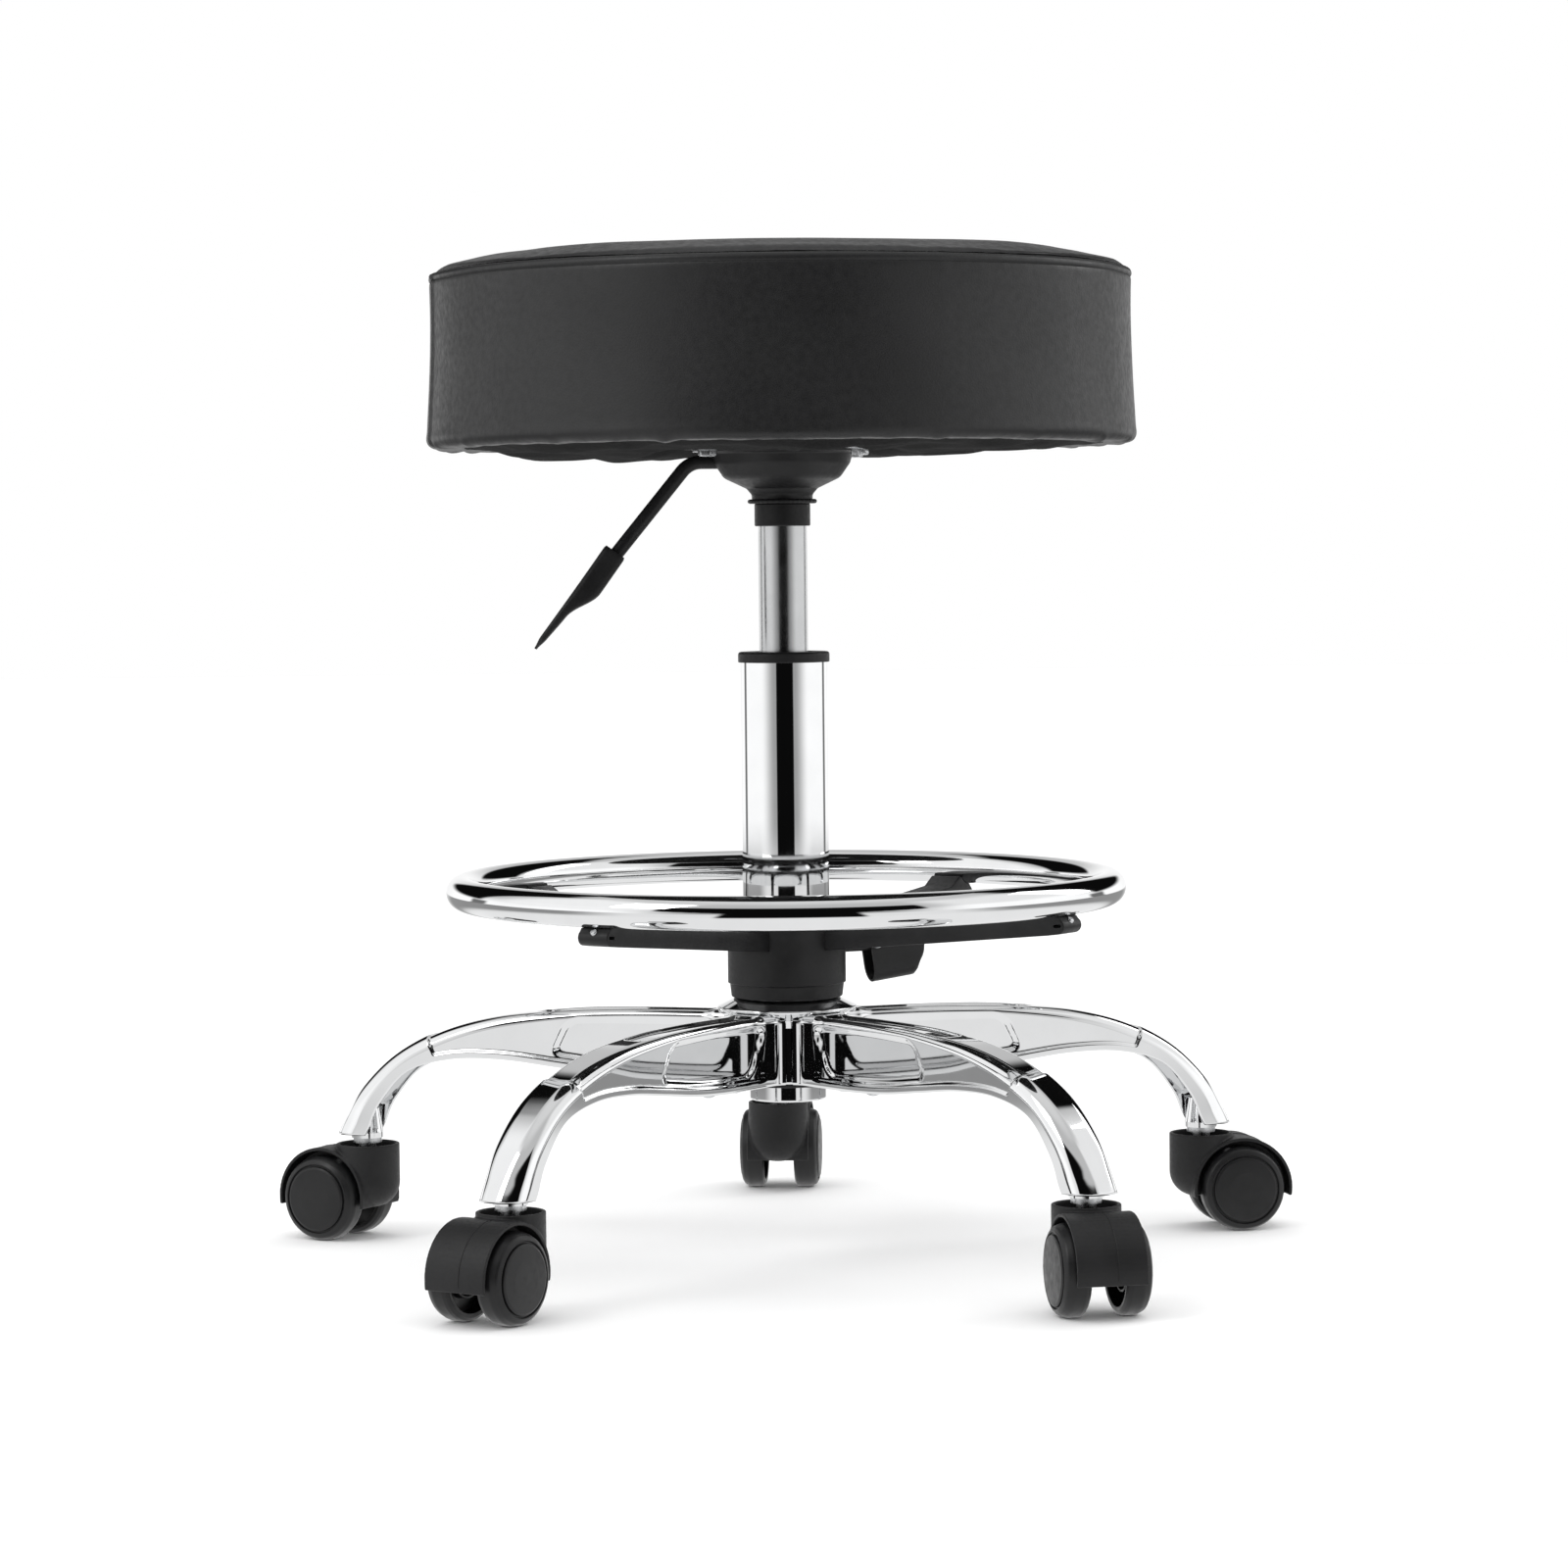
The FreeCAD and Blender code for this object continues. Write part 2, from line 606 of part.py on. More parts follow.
def ring_hub():
    bore = "bush_radius + running_gap"
    sleeve = turned("ring_hub_sleeve",
                    ((bore, "ring_hub_low"), ("ring_hub_foot_radius", "ring_hub_low"),
                     ("ring_hub_foot_radius + 1", "ring_hub_step"), ("ring_hub_radius", "ring_hub_step"),
                     ("ring_hub_radius", "ring_hub_high"), (bore, "ring_hub_high")))
    lug = box("ring_hub_lug", "clamp_pivot_place + 5 - ring_hub_radius + 2", "lug_width", "lug_height",
              ("ring_hub_radius - 2", "0", "clamp_pivot_height - lug_height / 2"))
    pin_hole = post("ring_hub_pin_hole", "clamp_pin_radius", "lug_width + 2",
                    ("clamp_pivot_place", "-lug_width / 2 - 1", "clamp_pivot_height"), (0, 1, 0))
    lug_turned = placed("ring_hub_lug_placed", cut("ring_hub_lug_bored", lug, pin_hole), size("clamp_turn"))
    keep(fused("ring_hub", sleeve, lug_turned), "ring_hub")


def ring_arms(tube):
    """Four folded channel arms that rise from the hub and end in saddles under the ring's tube."""
    length = "arm_end"
    bar = box("arm_bar", length, "arm_width", "arm_height", ("0", "0", "0"))
    hollow = box("arm_hollow", f"{length} - 30", "arm_width - arm_wall * 2", "arm_height - arm_wall",
                 ("0", "0", "-arm_wall"))
    tilted = grouped("arm_tilted", [cut("arm_channel", bar, hollow)])
    tilted.Placement.Rotation = FreeCAD.Rotation(FreeCAD.Vector(0, 1, 0), -size("arm_slope"))
    place(tilted, ("0", "0", "arm_root_height - 3"))
    saddle = box("arm_saddle", "saddle_length", "arm_width", "saddle_height",
                 ("arm_end - saddle_length - 1", "0", "ring_height - ring_tube_radius - 4"))
    core = post("arm_core", "ring_hub_radius", "80", ("0", "0", "ring_hub_low - 10"))
    arm = cut("arm_form", fused("arm_solid", tilted, saddle), fused("arm_hollows", core, tube))
    arms = [placed(f"arm_{k + 1}", arm, size("first_arm_turn") + 360.0 * k / ARM_COUNT)
            for k in range(ARM_COUNT)]
    keep(grouped("ring_arms", arms), "ring_arms")


def clamp():
    """The clamp's pivot pin and its lever, a trough folded from sheet and open at the top and inner end."""
    across = (0, 1, 0)
    pin = post("clamp_pin_form", "clamp_pin_radius", "clamp_pin_length",
               ("clamp_pivot_place", "-clamp_pin_length / 2", "clamp_pivot_height"), across)
    keep(placed("clamp_pin", pin, size("clamp_turn")), "clamp_pin")
    body = padded("trough_solid", "XZ_Plane", TROUGH_OUTLINE, "trough_width")
    low = min(height for reach, height in TROUGH_OUTLINE)
    end = max(reach for reach, height in TROUGH_OUTLINE)
    inside = box("trough_inside", f"{end} - trough_wall", "trough_width - trough_wall * 2",
                 "clamp_pivot_height", ("0", "0", f"{low} + trough_wall"))
    pin_hole = post("trough_pin_hole", "clamp_pin_radius + running_gap", "trough_width + 2",
                    ("clamp_pivot_place", "-trough_width / 2 - 1", "clamp_pivot_height"), across)
    trough = cut("trough_form", body, fused("trough_hollows", inside, pin_hole))
    keep(placed("clamp_lever", trough, size("clamp_turn")), "clamp_lever")


# ---------------------------------------------------------------- seat bracket and release lever

def seat_bracket():
    """The pressed bowl under the seat, with its taper socket, the lever's slot and two pivot ears."""
    narrow = "cylinder_radius - taper_narrowing"
    bore_low = "cylinder_radius - taper_narrowing * (bracket_low - taper_low) / (taper_high - taper_low)"
    outside = [("bracket_rim_radius", "bracket_high"),
               ("bracket_rim_radius - bracket_rim_thick", "bracket_high - bracket_rim_thick"), *BOWL_OUTSIDE,
               ("bracket_neck_radius", "bracket_neck_high"), ("bracket_neck_radius", "bracket_low")]
    inside = [(bore_low, "bracket_low"), (narrow, "taper_high"), ("bracket_neck_radius - 0.5", "taper_high"),
              ("bracket_neck_radius + 0.5", "taper_high - 3"), *BOWL_INSIDE]
    bowl = turned("bracket_bowl", inside + outside)
    slot = box("bracket_slot", "slot_length", "ear_gap", "bracket_high - slot_low - 1",
               ("-bracket_rim_radius - 4", "0", "slot_low"))
    slotted = cut("bracket_slotted", bowl, slot)
    ears = []
    for side in (-1, 1):
        across = f"{side} * (ear_gap + ear_thick) / 2"
        ears.append(box(f"bracket_ear_{side + 2}", "ear_length", "ear_thick", "bracket_high - ear_low",
                        ("-lever_pivot_place - ear_length / 2", across, "ear_low")))
    pin_hole = post("ear_pin_hole", "lever_pin_radius", "lever_pin_length + 4",
                    ("-lever_pivot_place", "-lever_pin_length / 2 - 2", "lever_height"), (0, 1, 0))
    keep(cut("seat_bracket", fused("bracket_solid", slotted, *ears), pin_hole), "seat_bracket")


def bracket_plate():
    plate = box("bracket_plate_form", "bracket_plate_width", "bracket_plate_width", "bracket_plate_thick",
                ("-bracket_plate_width / 2", "0", "bracket_high"))
    rounded = doc.addObject("Part::Fillet", "bracket_plate_rounded")
    rounded.Base = plate
    doc.recompute()
    corners = [number for number, edge in enumerate(plate.Shape.Edges, start=1)
               if abs(edge.tangentAt(edge.FirstParameter).z) > 0.9]
    radius = size("bracket_plate_round")
    rounded.Edges = [(number, radius, radius) for number in corners]
    keep(cut("bracket_plate", rounded, bolt_holes("plate", "bolt_radius + 0.2")), "bracket_plate")


def bolt_holes(name, radius):
    """Four upright holes on the bracket's bolt square, as one tool."""
    holes = [post(f"{name}_bolt_hole_{x + 1}{y + 1}", radius, "40",
                  (f"{x} * bolt_place", f"{y} * bolt_place", "bracket_high - 10"))
             for x in (-1, 1) for y in (-1, 1)]
    return fused(f"{name}_bolt_holes", *holes)


def bolts_and_nuts():
    board_low = "bracket_high + bracket_plate_thick + dust_cover_thick"
    board_high = board_low + " + board_thick"
    flange_high = board_high + " + nut_flange_thick"
    washer_low = "bracket_high - washer_thick"
    head_low = washer_low + " - bolt_head_height"
    bolt_high = "bracket_high + bolt_reach"
    bolt = turned("bolt_form",
                  (("0", head_low), ("bolt_head_radius - 1", head_low), ("bolt_head_radius", head_low + " + 1"),
                   ("bolt_head_radius", washer_low), ("washer_radius", washer_low),
                   ("washer_radius", "bracket_high"), ("bolt_radius", "bracket_high"),
                   ("bolt_radius", bolt_high), ("0", bolt_high)))
    nut = turned("nut_form",
                 (("bolt_radius", board_low + " + 2"), ("nut_radius", board_low + " + 2"),
                  ("nut_radius", board_high), ("nut_flange_radius", board_high),
                  ("nut_flange_radius", flange_high), ("bolt_radius", flange_high)))
    for label, form in (("bracket_bolts", bolt), ("board_nuts", nut)):
        copies = []
        for x in (-1, 1):
            for y in (-1, 1):
                copies.append(placed(f"{label}_{x + 1}{y + 1}", form, 0.0,
                                     (x * size("bolt_place"), y * size("bolt_place"))))
        keep(grouped(label, copies), label)


def release_lever():
    """The bent release lever, its grip and its pivot pin."""
    body = doc.addObject("PartDesign::Body", "lever_rod_form")
    path = pinned_sketch(body, "lever_path", "XZ_Plane", [(-reach, height) for reach, height in LEVER_ROUTE],
                         closed=False)
    section = body.newObject("Sketcher::SketchObject", "lever_section")
    section.AttachmentSupport = [(origin_plane(body, "YZ_Plane"), "")]
    section.MapMode = "FlatFace"
    section.setExpression("AttachmentOffset.Base.z", f"{-LEVER_ROUTE[0][0]}")
    section.addGeometry(Part.Circle(FreeCAD.Vector(0, size("lever_height"), 0), FreeCAD.Vector(0, 0, 1),
                                    size("lever_radius")), False)
    section.addConstraint(Sketcher.Constraint("PointOnObject", 0, 3, -2))
    for kind, formula, guess in (("DistanceY", "lever_height", size("lever_height")),
                                 ("Radius", "lever_radius", size("lever_radius"))):
        if kind == "Radius":
            number = section.addConstraint(Sketcher.Constraint(kind, 0, guess))
        else:
            number = section.addConstraint(Sketcher.Constraint(kind, -1, 1, 0, 3, guess))
        section.setExpression(f"Constraints[{number}]", in_sheet(formula))
    pipe = body.newObject("PartDesign::AdditivePipe", "lever_pipe")
    pipe.Profile = section
    pipe.Spine = (path, [])
    pipe.Transition = "Round corner"
    eye = post("lever_eye", "lever_pin_radius + running_gap", "lever_radius * 3",
               ("-lever_pivot_place", "-lever_radius * 1.5", "lever_height"), (0, 1, 0))
    rod = keep(cut("lever_rod", body, eye), "lever_rod")
    grip = padded("grip_solid", "XZ_Plane", [(-reach, height) for reach, height in GRIP_OUTLINE],
                  "grip_width")
    keep(cut("lever_grip", grip, rod), "lever_grip")
    pin = post("lever_pivot_pin", "lever_pin_radius", "lever_pin_length",
               ("-lever_pivot_place", "-lever_pin_length / 2", "lever_height"), (0, 1, 0))
    keep(pin, "lever_pivot_pin")


# ---------------------------------------------------------------- seat

def seat():
    dust_low = "bracket_high + bracket_plate_thick"
    board_low = dust_low + " + dust_cover_thick"
    board_high = board_low + " + board_thick"
    dust = ring("dust_cover_disc", "0", "dust_cover_radius", dust_low, board_low)
    keep(cut("dust_cover", dust, bolt_holes("dust_cover", "bolt_radius + 0.2")), "dust_cover")
    board = ring("seat_board_disc", "0", "board_radius", board_low, board_high)
    keep(cut("seat_board", board, bolt_holes("board", "nut_radius")), "seat_board")
    inner_low, inner_seam = "cover_low_radius - cover_thick", "cover_seam_radius - cover_thick"
    inner_top, inner_high = "cover_top_radius - cover_thick", "seat_high - cover_thick"
    shoulder_radius, inner_shoulder = "cover_seam_radius - 5", inner_seam + " - 5"
    shoulder_high = "cover_seam_height + 6.5"
    foam = turned("seat_foam_form",
                  (("0", board_high), (inner_low + " - 0.4", board_high), (inner_seam, "cover_seam_height"),
                   (inner_shoulder, shoulder_high), (inner_top, inner_high), ("0", inner_high)))
    flanges = [post(f"foam_relief_{x + 1}{y + 1}", "nut_flange_radius + 0.3", "nut_flange_thick + 1.3",
                    (f"{x} * bolt_place", f"{y} * bolt_place", board_high + " - 1"))
               for x in (-1, 1) for y in (-1, 1)]
    keep(cut("seat_foam", foam, fused("foam_reliefs", *flanges)), "seat_foam")
    outside = [("hem_radius", dust_low), ("cover_low_radius - 2.5", dust_low),
               ("cover_low_radius", dust_low + " + 3"), ("cover_seam_radius", "cover_seam_height"),
               (shoulder_radius, shoulder_high + " + cover_thick * 0.6"), ("cover_top_radius", "seat_high"),
               ("0", "seat_high")]
    inside = [("0", inner_high), (inner_top, inner_high), (inner_shoulder, shoulder_high),
              (inner_seam, "cover_seam_height"), (inner_low + " - 0.4", board_high),
              (inner_low, board_low + " + 2"), ("cover_low_radius - 3", board_low), ("hem_radius", board_low)]
    keep(turned("seat_cover", outside + inside), "seat_cover")


# ---------------------------------------------------------------- assembly

def build():
    column_tube()
    column_bush()
    column_base()
    gas_lift()
    hub = base_hub()
    doc.recompute()
    leg = legs(hub)
    leg_plates()
    caster_sockets(leg)
    casters()
    foot_ring()
    seat_bracket()
    bracket_plate()
    bolts_and_nuts()
    release_lever()
    seat()
    doc.recompute()


def check():
    """Stop before anything is written if an object failed or a part's shape isn't sound."""
    failed = [thing.Name for thing in doc.Objects if {"Invalid", "Error"} & set(thing.State)]
    if failed:
        raise SystemExit(f"failed objects: {failed}")
    for part in parts:
        if part.Shape.isNull() or not part.Shape.isValid() or not part.Shape.Solids:
            raise SystemExit(f"unsound shape: {part.Label}")


def write():
    os.makedirs("parts", exist_ok=True)
    for part in parts:
        part.Shape.exportStep(f"parts/{part.Label}.step")
    print(f"{len(parts)} parts written")


build()
check()
write()
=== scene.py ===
import json
import math
import bmesh
import bpy
from mathutils import Matrix, Vector, noise
from mathutils.bvhtree import BVHTree


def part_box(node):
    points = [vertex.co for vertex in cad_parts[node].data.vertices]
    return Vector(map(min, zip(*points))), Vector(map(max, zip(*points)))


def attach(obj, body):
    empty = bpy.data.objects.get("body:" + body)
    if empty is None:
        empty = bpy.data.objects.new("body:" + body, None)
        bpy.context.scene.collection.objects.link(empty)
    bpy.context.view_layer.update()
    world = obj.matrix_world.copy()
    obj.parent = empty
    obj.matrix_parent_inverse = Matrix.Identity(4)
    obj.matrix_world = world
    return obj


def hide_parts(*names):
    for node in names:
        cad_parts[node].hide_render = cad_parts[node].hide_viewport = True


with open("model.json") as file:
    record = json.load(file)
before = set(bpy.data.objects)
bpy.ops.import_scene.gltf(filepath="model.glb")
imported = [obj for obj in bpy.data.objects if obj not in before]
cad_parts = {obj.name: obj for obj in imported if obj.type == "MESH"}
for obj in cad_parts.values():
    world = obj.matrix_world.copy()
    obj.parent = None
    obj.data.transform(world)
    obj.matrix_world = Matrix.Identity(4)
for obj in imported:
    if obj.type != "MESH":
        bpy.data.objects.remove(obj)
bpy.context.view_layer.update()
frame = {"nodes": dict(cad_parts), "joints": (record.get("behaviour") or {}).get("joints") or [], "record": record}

# Lengths below are in millimetres and angles in degrees; MM turns them into the frame's metres.
MM = 0.001
UP = Vector((0, 0, 1))
JOINTS = {joint["name"]: joint for joint in frame["joints"]}


def node_box(node):
    """Lowest and highest corner of a CAD node, in millimetres."""
    low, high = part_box(node)
    return Vector(low) / MM, Vector(high) / MM


def joint_place(name):
    return Vector(JOINTS[name]["pos_m"]) / MM


# Places and sizes that no node's box gives by itself.
TRAIL = (joint_place("caster_1_left_roll") - joint_place("caster_1_swivel")).to_2d().length
WHEEL_RADIUS = joint_place("caster_1_left_roll").z
WHEEL_WIDTH = 16.3
WHEEL_GAP = 18.8
CAP_RADIUS = 19.0
CUP_RADIUS = 18.8
HOOD_RADIUS = 30.0
HOOD_HALF = 19.5
HOOD_CLEARANCE = 3.0
HOOD_VOXEL = 0.55
MOULD_LINE = 3.0
STEM_RADIUS = 5.5
SCREW_REACHES = (53.0, 79.0)
CASTERS = range(1, 6)
RING_HUB_RADIUS = 34.0
ARM_COUNT = 4
FIRST_ARM = 55.0
BOLT_PLACE = 43.0

# Seat cover: the crowned top panel, the band's upright seam and the stitching.
PANEL_GRID = 64
PANEL_RADIUS = 197.2
PANEL_LOW = 565.0
PANEL_RISE = 5.8
PANEL_ROUND = 12.0
PANEL_CAP = 3.0
BAND_CAP = 0.8
CLOTH_FRAMES = 20
RELAX_ROUNDS = 12
SEAM_AZIMUTH = math.radians(-169.4)
PUCKER_COUNT = 24
STITCH_LENGTH = 3.2
STITCH_GAP = 1.0
THREAD_RADIUS = 0.48
DUST_RADIUS = 184.0


# ---------------------------------------------------------------- materials

def shader(name, color, roughness, metallic=0.0, **sockets):
    """A Principled material with the plain values on its own sockets."""
    material = bpy.data.materials.new(name)
    material.use_nodes = True
    surface = material.node_tree.nodes["Principled BSDF"]
    surface.inputs["Base Color"].default_value = (*color, 1)
    surface.inputs["Roughness"].default_value = roughness
    surface.inputs["Metallic"].default_value = metallic
    for socket, amount in sockets.items():
        surface.inputs[socket.replace("_", " ")].default_value = amount
    return material


def node(material, kind, **settings):
    made = material.node_tree.nodes.new(kind)
    for name, amount in settings.items():
        if name in made.inputs:
            made.inputs[name].default_value = amount
        else:
            setattr(made, name, amount)
    return made


def link(material, source, output, target, socket):
    material.node_tree.links.new(source.outputs[output], target.inputs[socket])


def object_space(material, scale):
    """Object coordinates, so that a pattern keeps its size on every piece."""
    place = node(material, "ShaderNodeTexCoord")
    mapping = node(material, "ShaderNodeMapping")
    mapping.inputs["Scale"].default_value = scale
    link(material, place, "Object", mapping, "Vector")
    return mapping


def ranged(material, source, output, low, high, from_low=0.0, from_high=1.0):
    """A texture's output spread between two values."""
    spread = node(material, "ShaderNodeMapRange")
    for socket, amount in (("From Min", from_low), ("From Max", from_high),
                           ("To Min", low), ("To Max", high)):
        spread.inputs[socket].default_value = amount
    link(material, source, output, spread, "Value")
    return spread


def vary_roughness(material, scale, low, high):
    texture = node(material, "ShaderNodeTexNoise", Scale=scale, Detail=4.0)
    link(material, object_space(material, (1, 1, 1)), "Vector", texture, "Vector")
    link(material, ranged(material, texture, "Fac", low, high, 0.3, 0.7), "Result",
         material.node_tree.nodes["Principled BSDF"], "Roughness")


def bump(material, height_source, output, strength, distance, under=None):
    bumped = node(material, "ShaderNodeBump", Strength=strength, Distance=distance)
    link(material, height_source, output, bumped, "Height")
    if under is not None:
        link(material, under, "Normal", bumped, "Normal")
    link(material, bumped, "Normal", material.node_tree.nodes["Principled BSDF"], "Normal")
    return bumped


def noise_bump(material, scale, strength, distance, under=None, detail=3.0):
    texture = node(material, "ShaderNodeTexNoise", Scale=scale, Detail=detail)
    link(material, object_space(material, (1, 1, 1)), "Vector", texture, "Vector")
    return bump(material, texture, "Fac", strength, distance, under)


def vary_color(material, scale, dark, light):
    """Colour that drifts between two shades."""
    texture = node(material, "ShaderNodeTexNoise", Scale=scale, Detail=5.0)
    link(material, object_space(material, (1, 1, 1)), "Vector", texture, "Vector")
    ramp = node(material, "ShaderNodeValToRGB")
    ramp.color_ramp.elements[0].position = 0.3
    ramp.color_ramp.elements[0].color = (*dark, 1)
    ramp.color_ramp.elements[1].position = 0.7
    ramp.color_ramp.elements[1].color = (*light, 1)
    link(material, texture, "Fac", ramp, "Fac")
    link(material, ramp, "Color", material.node_tree.nodes["Principled BSDF"], "Base Color")


def varied(name, color, roughness, shades, rough_range, relief, metallic=0.0, **sockets):
    """A finish whose colour, roughness and fine relief all drift a little over it."""
    material = shader(name, color, roughness, metallic, **sockets)
    vary_color(material, *shades)
    vary_roughness(material, *rough_range)
    noise_bump(material, *relief)
    return material


def leather_material():
    leather = shader("black_leather", (0.009, 0.009, 0.0095), 0.4, Specular_IOR_Level=0.4)
    vary_color(leather, 22.0, (0.008, 0.008, 0.0085), (0.011, 0.011, 0.0115))
    vary_roughness(leather, 260.0, 0.38, 0.52)
    pebbles = node(leather, "ShaderNodeTexVoronoi", feature="SMOOTH_F1", Scale=900.0)
    link(leather, object_space(leather, (1, 1, 1)), "Vector", pebbles, "Vector")
    grain = bump(leather, pebbles, "Distance", 0.16, 0.0003)
    noise_bump(leather, 260.0, 0.1, 0.0004, under=grain, detail=6.0)
    return leather


def thread_material():
    thread = shader("black_thread", (0.004, 0.004, 0.004), 0.8, Specular_IOR_Level=0.2)
    twist = node(thread, "ShaderNodeTexWave", Scale=900.0, Distortion=1.0)
    link(thread, object_space(thread, (1, 1, 1)), "Vector", twist, "Vector")
    bump(thread, twist, "Color", 0.4, 0.0002)
    vary_color(thread, 200.0, (0.003, 0.003, 0.003), (0.007, 0.007, 0.007))
    return thread


def cloth_material():
    cloth = shader("dust_cloth", (0.005, 0.005, 0.005), 0.92, Specular_IOR_Level=0.2)
    vary_color(cloth, 500.0, (0.003, 0.003, 0.003), (0.009, 0.009, 0.009))
    noise_bump(cloth, 1500.0, 0.5, 0.0004, detail=6.0)
    return cloth


def wood_material():
    wood = shader("birch_ply", (0.6, 0.45, 0.3), 0.6)
    rings = node(wood, "ShaderNodeTexWave", Scale=6.0, Distortion=6.0)
    link(wood, object_space(wood, (1, 12, 60)), "Vector", rings, "Vector")
    ramp = node(wood, "ShaderNodeValToRGB")
    ramp.color_ramp.elements[0].color = (0.5, 0.36, 0.22, 1)
    ramp.color_ramp.elements[1].color = (0.68, 0.52, 0.36, 1)
    link(wood, rings, "Color", ramp, "Fac")
    link(wood, ramp, "Color", wood.node_tree.nodes["Principled BSDF"], "Base Color")
    bump(wood, rings, "Color", 0.1, 0.0002)
    return wood


def foam_material():
    foam = shader("seat_foam", (0.78, 0.74, 0.6), 0.95, Subsurface_Weight=0.1)
    vary_color(foam, 300.0, (0.7, 0.65, 0.5), (0.82, 0.78, 0.66))
    noise_bump(foam, 900.0, 0.6, 0.0006)
    return foam


MATERIALS = {
    "chrome": varied(
        "chrome_plate", (0.76, 0.765, 0.77), 0.035, (40.0, (0.74, 0.745, 0.75), (0.78, 0.785, 0.79)),
        (90.0, 0.02, 0.05), (9.0, 0.012, 0.0004), metallic=1.0),
    "bright_steel": varied(
        "bright_zinc", (0.6, 0.61, 0.62), 0.3, (120.0, (0.52, 0.53, 0.54), (0.68, 0.69, 0.7)),
        (300.0, 0.2, 0.38), (700.0, 0.04, 0.0001), metallic=1.0),
    "black_steel": varied(
        "black_powder_coat", (0.009, 0.009, 0.0095), 0.4,
        (60.0, (0.007, 0.007, 0.0075), (0.012, 0.012, 0.0125)),
        (400.0, 0.36, 0.5), (900.0, 0.12, 0.0002), Specular_IOR_Level=0.3),
    "black_plastic": varied(
        "black_moulded_plastic", (0.009, 0.009, 0.0095), 0.46,
        (30.0, (0.007, 0.007, 0.0075), (0.012, 0.012, 0.0125)),
        (500.0, 0.42, 0.56), (2200.0, 0.1, 0.00012), Specular_IOR_Level=0.3),
    "wheel_nylon": varied(
        "wheel_nylon", (0.007, 0.007, 0.0075), 0.34, (50.0, (0.005, 0.005, 0.0055), (0.01, 0.01, 0.0105)),
        (250.0, 0.3, 0.46), (1200.0, 0.08, 0.0001), Specular_IOR_Level=0.32),
    "black_leather": leather_material(),
    "foam": foam_material(),
    "plywood": wood_material(),
    "dust_cloth": cloth_material(),
}
THREAD = thread_material()
SATIN = varied(
    "satin_chrome", (0.5, 0.505, 0.51), 0.22, (40.0, (0.48, 0.485, 0.49), (0.52, 0.525, 0.53)),
    (90.0, 0.19, 0.25), (9.0, 0.012, 0.0004), metallic=1.0)


def paint_cad_nodes():
    """Every CAD node gets its slot's material; the ones replaced later aren't shown."""
    for entry in frame["record"]["subparts"]:
        cad = frame["nodes"][entry["node"]]
        cad.data.materials.clear()
        cad.data.materials.append(MATERIALS[entry["material_slot"]])


# ---------------------------------------------------------------- mesh helpers

def add_object(name, data):
    """An object round a mesh, light or camera, in the scene."""
    made = bpy.data.objects.new(name, data)
    bpy.context.scene.collection.objects.link(made)
    return made


def circle(radius, count, centre=(0, 0)):
    """Points of a circle in its own plane."""
    turns = [2 * math.pi * k / count for k in range(count)]
    return [(centre[0] + radius * math.cos(turn), centre[1] + radius * math.sin(turn)) for turn in turns]


def skin(rows, count, first=0, wrap=False):
    """Quads between neighbouring rows of count points, where each row is a closed loop."""
    faces = []
    for row in range(rows if wrap else rows - 1):
        a, b = first + row * count, first + (row + 1) % rows * count
        for k in range(count):
            follow = (k + 1) % count
            faces.append((a + k, a + follow, b + follow, b + k))
    return faces


def piece(name, vertices, faces, material, sharp=None):
    """A mesh object from vertices in millimetres, smooth except at edges sharper than an angle."""
    mesh = bpy.data.meshes.new(name)
    mesh.from_pydata([Vector(v) * MM for v in vertices], [], faces)
    work = bmesh.new()
    work.from_mesh(mesh)
    bmesh.ops.remove_doubles(work, verts=work.verts, dist=0.00001)
    bmesh.ops.recalc_face_normals(work, faces=work.faces)
    work.to_mesh(mesh)
    work.free()
    mesh.shade_smooth()
    if sharp is not None:
        mesh.set_sharp_from_angle(angle=math.radians(sharp))
    mesh.materials.append(material)
    return add_object(name, mesh)


def hand_in(made, body, slot, *nodes):
    """Ride a body and stand for CAD nodes by hiding them; the slot is not used."""
    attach(made, body)
    if nodes:
        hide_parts(*nodes)
    return made


def bake(made):
    """Apply an object's modifiers to its mesh."""
    bpy.context.view_layer.update()
    graph = bpy.context.evaluated_depsgraph_get()
    mesh = bpy.data.meshes.new_from_object(made.evaluated_get(graph))
    made.modifiers.clear()
    old = made.data
    made.data = mesh
    bpy.data.meshes.remove(old)
    return made


def carve(made, tool, operation="DIFFERENCE"):
    """Apply a boolean and throw the tool away."""
    modifier = made.modifiers.new("carve", "BOOLEAN")
    modifier.operation = operation
    modifier.solver = "EXACT"
    modifier.object = tool
    bake(made)
    bpy.data.objects.remove(tool)
    return made


def move_mesh(made, matrix):
    """Move an object's vertices by a matrix whose shift is in millimetres."""
    scaled = matrix.copy()
    scaled.translation = matrix.translation * MM
    made.data.transform(scaled)
    made.data.update()
    return made


def joined(name, pieces):
    """Several objects as one."""
    work = bmesh.new()
    for part in pieces:
        work.from_mesh(part.data)
    mesh = bpy.data.meshes.new(name)
    work.to_mesh(mesh)
    work.free()
    mesh.materials.append(pieces[0].data.materials[0])
    made = add_object(name, mesh)
    for part in pieces:
        bpy.data.objects.remove(part)
    return made


